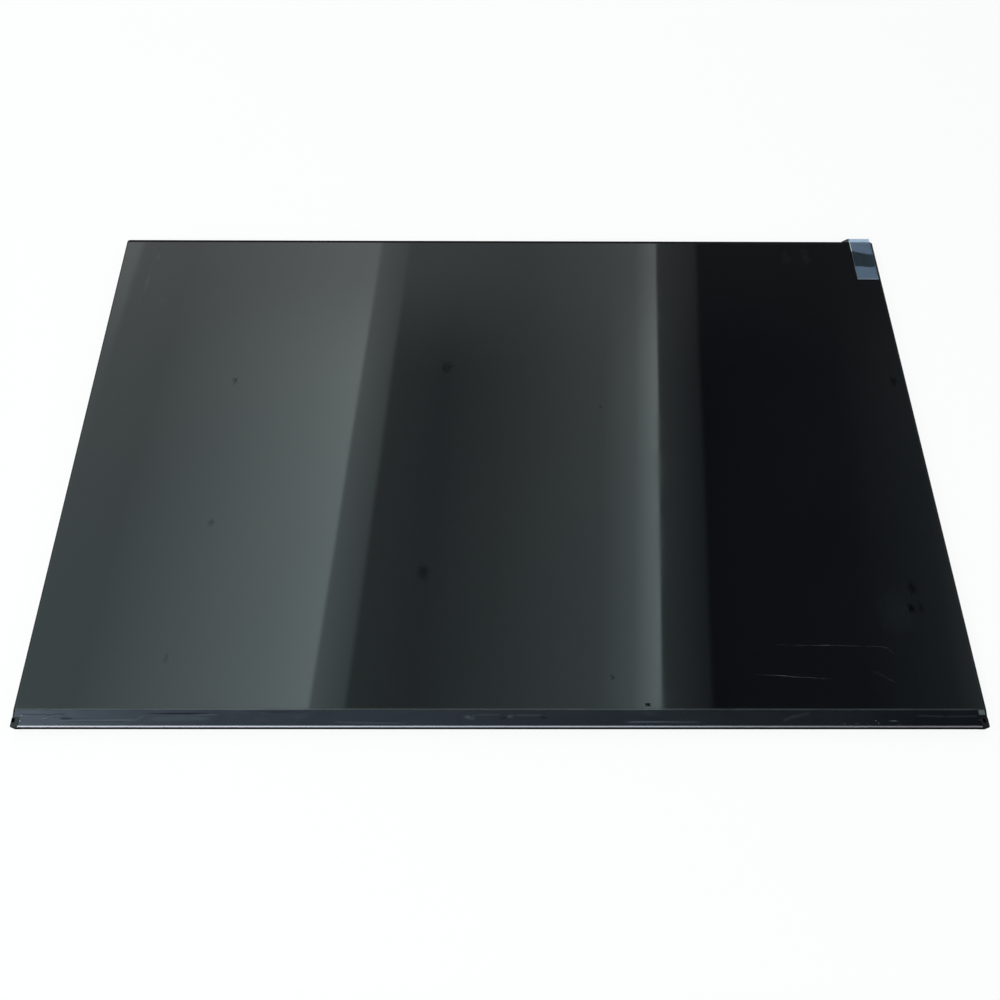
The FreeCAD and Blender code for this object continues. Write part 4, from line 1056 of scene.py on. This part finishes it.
def test_pads():
    """Small round gilded pads with rounded rims along the board."""
    shape = bmesh.new()
    face = board_low.z - PAD_HEIGHT * MM
    levels = [(PAD_RADIUS, board_low.z), (PAD_RADIUS, (board_low.z + face) / 2), (PAD_RADIUS - PAD_RIM, face)]
    spokes = [Vector((math.cos(turn), math.sin(turn), 0.0)) * MM for turn in full_turn(PAD_SIDES)]
    for x in PAD_PLACES:
        rings = []
        for radius, z in levels:
            middle = Vector((x * MM, NEAR_EDGE + PAD_LINE * MM, z))
            rings.append([shape.verts.new(middle + spoke * radius) for spoke in spokes])
        join_rings(shape, rings)
        shape.faces.new(rings[0])
        shape.faces.new(rings[-1][::-1])
    bmesh.ops.recalc_face_normals(shape, faces=shape.faces)
    gilt = rolled_metal("gilded_pad", rgb(0.70, 0.50, 0.22), rgb(0.82, 0.62, 0.30), 0.25, 0.4, EVEN_GRAIN)
    add_piece("test_pads", shape, gilt)


# Stage


def emptied_tree(holder):
    """The node tree of a new material or world, with nothing in it."""
    holder.use_nodes = True
    holder.node_tree.nodes.clear()
    return holder.node_tree


def seen_directly(tree):
    """1 for camera, mirror and see-through rays, which show the plain white surround."""
    rays = add(tree, "ShaderNodeLightPath").outputs
    both = maths(tree, "MAXIMUM", rays["Is Camera Ray"], rays["Is Glossy Ray"])
    return maths(tree, "MAXIMUM", both, rays["Is Transmission Ray"])


def white_floor():
    """A pale floor that reads white, keeps a soft shadow and can be seen through from below."""
    bpy.ops.mesh.primitive_grid_add(x_subdivisions=4, y_subdivisions=4, size=FLOOR_SIZE)
    floor = bpy.context.object
    floor.name = "floor"
    floor.location.z = cad_low.z - FLOOR_GAP
    material = bpy.data.materials.new("white_floor")
    tree = emptied_tree(material)
    paint = add(tree, "ShaderNodeBsdfDiffuse", {"Color": rgb(*FLOOR_COLOUR)}).outputs[0]
    glow = add(tree, "ShaderNodeEmission", {"Color": grey(1.0), "Strength": 1.0}).outputs[0]
    share = maths(tree, "MULTIPLY", seen_directly(tree), FLOOR_GLOW_SHARE)
    lit = add(tree, "ShaderNodeMixShader", {0: share, 1: paint, 2: glow}).outputs[0]
    below = add(tree, "ShaderNodeNewGeometry").outputs["Backfacing"]
    clear = add(tree, "ShaderNodeBsdfTransparent").outputs[0]
    surface = add(tree, "ShaderNodeMixShader", {0: below, 1: lit, 2: clear}).outputs[0]
    add(tree, "ShaderNodeOutputMaterial", {"Surface": surface})
    floor.data.materials.append(material)


def white_surround():
    scene.world = bpy.data.worlds.new("white_surround")
    tree = emptied_tree(scene.world)
    plain = add(tree, "ShaderNodeBackground", {"Color": grey(1.0), "Strength": SURROUND_LEVEL}).outputs[0]
    white = add(tree, "ShaderNodeBackground", {"Color": grey(1.0), "Strength": 1.0}).outputs[0]
    surface = add(tree, "ShaderNodeMixShader", {0: seen_directly(tree), 1: plain, 2: white}).outputs[0]
    add(tree, "ShaderNodeOutputWorld", {"Surface": surface})


def soft_lamp():
    lamp = bpy.data.lights.new("soft_lamp", "AREA")
    lamp.size = LAMP_SIZE
    lamp.energy = LAMP_POWER
    holder = bpy.data.objects.new("soft_lamp", lamp)
    holder.location = LAMP_PLACE
    holder.rotation_euler = (-LAMP_PLACE).to_track_quat("-Z", "Y").to_euler()
    scene.collection.objects.link(holder)


def add_graded_panel(shape, level, stations, near, far):
    """A light panel lofted through its stations, leaning a little as it goes away from the viewer."""
    rows = spread(near, far, LIGHT_ROW)
    columns = []
    for place, near_level, far_level in stations:
        column = []
        for y in rows:
            lean = (LIGHT_LEAN + LIGHT_LEAN_GROWTH * place * MM) * (y - LIGHT_SEAM)
            corner = shape.verts.new((place * MM + lean, y, LIGHT_HEIGHT))
            corner[level] = near_level + (far_level - near_level) * smooth_share(*LIGHT_FADE, y)
            column.append(corner)
        columns.append(column)
    for left, right in zip(columns, columns[1:]):
        for i in range(len(rows) - 1):
            shape.faces.new([left[i], left[i + 1], right[i + 1], right[i]])


def even(stations):
    """Stations of a panel whose levels don't change from its near end to its far end."""
    return [(place, level, level) for place, level in stations]


def overhead_soft_panels():
    """Graded light panels above the screen and above the near strip, seen only as mirror images."""
    shape = bmesh.new()
    level = shape.verts.layers.float.new("level")
    add_graded_panel(shape, level, even(FOLD_LIGHTS), LIGHT_FOLDS, LIGHT_NEAR)
    add_graded_panel(shape, level, even(STRIP_LIGHTS), LIGHT_NEAR, LIGHT_SEAM)
    add_graded_panel(shape, level, SCREEN_LIGHTS, LIGHT_SEAM, LIGHT_FAR)
    mesh = bpy.data.meshes.new("soft_panels")
    shape.to_mesh(mesh)
    shape.free()
    panels = bpy.data.objects.new("soft_panels", mesh)
    scene.collection.objects.link(panels)
    material = bpy.data.materials.new("soft_panel_glow")
    tree = emptied_tree(material)
    strength = add(tree, "ShaderNodeAttribute", attribute_name="level").outputs["Fac"]
    away = remap(tree, place_along(tree, "Y"), LIGHT_SEAM, LIGHT_FAR)
    tint = mix_colour(tree, away, rgb(*LIGHT_TINT_NEAR), rgb(*LIGHT_TINT_FAR))
    glow = add(tree, "ShaderNodeEmission", {"Color": tint, "Strength": strength}).outputs[0]
    add(tree, "ShaderNodeOutputMaterial", {"Surface": glow})
    mesh.materials.append(material)
    panels.visible_camera = False


def photo_camera():
    camera = bpy.data.cameras.new("camera")
    camera.lens = CAMERA_LENS
    camera.sensor_width = CAMERA_SENSOR
    camera.clip_start = CAMERA_CLIP_START
    holder = bpy.data.objects.new("camera", camera)
    scene.collection.objects.link(holder)
    turn = Matrix.Rotation(-CAMERA_YAW, 4, "Z")
    tilt = Matrix.Rotation(math.pi / 2 - CAMERA_PITCH, 4, "X")
    roll = Matrix.Rotation(CAMERA_ROLL, 4, "Z")
    holder.matrix_world = Matrix.Translation(CAMERA_PLACE) @ turn @ tilt @ roll
    scene.camera = holder


# Finishes of the pieces that keep their packed form

RAIL_BARE_RIM = 0.03
DRIVERS = range(1, 5)


def dress(material, *names):
    """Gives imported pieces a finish."""
    for name in names:
        finishes = nodes[name].data.materials
        finishes.clear()
        finishes.append(material)


def dress_screen():
    """The screen, the frame round it and the layers behind the glass."""
    dress(film_over_screen(), "protective_film")
    dress(polarizer_sheet(), "front_polarizer", "rear_polarizer")
    dress(panel_glass(), "colour_filter_glass", "tft_glass")
    dress(moulded_black(), "moulded_frame")
    dress(pale_foam(), "ledge_pad")
    black_tape = matt_tape("black_tape", rgb(0.008, 0.008, 0.009), rgb(0.016, 0.016, 0.018), 0.4)
    dress(black_tape, "frame_tape", "board_tape")
    # Painted shade: the edge tape on the rail's outer wall is near-black and has no shine
    edge_shade = matt_tape("edge_tape_painted_shade", rgb(0.003, 0.0033, 0.0045), rgb(0.006, 0.0063, 0.0080), 0.0)
    dress(edge_shade, "edge_tape")
    milky = satin_sheet("milky_sheet", rgb(0.70, 0.71, 0.71), rgb(0.78, 0.79, 0.79), 0.4)
    dress(milky, "upper_prism_sheet", "lower_prism_sheet", "diffuser_sheet")
    acrylic = satin_sheet("light_guide_acrylic", rgb(0.62, 0.68, 0.68), rgb(0.72, 0.77, 0.77), 0.12)
    dress(acrylic, "light_guide")
    white = satin_sheet("reflector_white", rgb(0.76, 0.76, 0.75), rgb(0.82, 0.82, 0.81), 0.3)
    dress(white, "reflector_sheet", "led_strip_tape")
    lamp = satin_sheet("lamp_housing", rgb(0.74, 0.66, 0.36), rgb(0.82, 0.78, 0.60), 0.35)
    dress(lamp, "leds")


def dress_metal():
    """The rail, the back plate and the metal of the connector."""
    # The rail's wall between its bare rims is painted a flat dark shade
    inside = ((rail_low.z + rail_high.z) / 2, (rail_high.z - rail_low.z) / 2 - RAIL_BARE_RIM * MM)
    silver = rolled_metal("rail_steel", rgb(0.40, 0.37, 0.42), rgb(0.48, 0.44, 0.50), 0.28, 0.36,
                          (0.02, 1.0, 1.0), inside)
    dress(silver, "bottom_rail")
    plate = rolled_metal("plate_aluminium", rgb(0.58, 0.59, 0.60), rgb(0.66, 0.67, 0.68), 0.34, 0.46,
                         (0.03, 1.0, 1.0))
    dress(plate, "back_plate")
    shell = rolled_metal("shell_steel", rgb(0.55, 0.55, 0.54), rgb(0.70, 0.70, 0.69), 0.22, 0.36,
                         (0.1, 1.0, 1.0))
    dress(shell, "connector_shell")
    gold = rolled_metal("contact_gold", rgb(0.72, 0.50, 0.20), rgb(0.85, 0.63, 0.28), 0.2, 0.34,
                        (1.0, 0.1, 1.0))
    dress(gold, "connector_contacts")


def dress_circuits():
    """The driver films, the board and what is soldered to them."""
    dress(solder_mask(), "driver_board")
    dress(flexible_circuit(), "led_strip", *[f"driver_film_{i}" for i in DRIVERS])
    silicon = chip_moulding("driver_silicon", rgb(0.020, 0.022, 0.030), rgb(0.032, 0.034, 0.044), 0.16)
    dress(silicon, *[f"driver_chip_{i}" for i in DRIVERS])
    chip = chip_moulding("chip_moulding", rgb(0.010, 0.010, 0.011), rgb(0.018, 0.018, 0.019), 0.55)
    dress(chip, *CHIPS)
    ferrite = chip_moulding("ferrite", rgb(0.045, 0.045, 0.047), rgb(0.075, 0.074, 0.076), 0.7)
    dress(ferrite, "inductors")
    glaze = chip_moulding("resistor_glaze", rgb(0.010, 0.010, 0.013), rgb(0.020, 0.020, 0.024), 0.3)
    dress(tinned_ends(glaze, RESISTOR_ROW), "resistors")
    ceramic = chip_moulding("capacitor_ceramic", rgb(0.22, 0.13, 0.07), rgb(0.32, 0.20, 0.11), 0.45)
    dress(tinned_ends(ceramic, CAPACITOR_ROW), "capacitors")
    ivory = satin_sheet("connector_ivory", rgb(0.52, 0.48, 0.38), rgb(0.62, 0.58, 0.47), 0.45)
    dress(ivory, "connector_housing")


scene.view_settings.view_transform = "Standard"
white_floor()
white_surround()
soft_lamp()
overhead_soft_panels()
photo_camera()
dress_screen()
dress_metal()
dress_circuits()
folded_cover_tape()
marks_on_tape()
creased_pull_tab()
marks_on_film()
chip_leads()
test_pads()
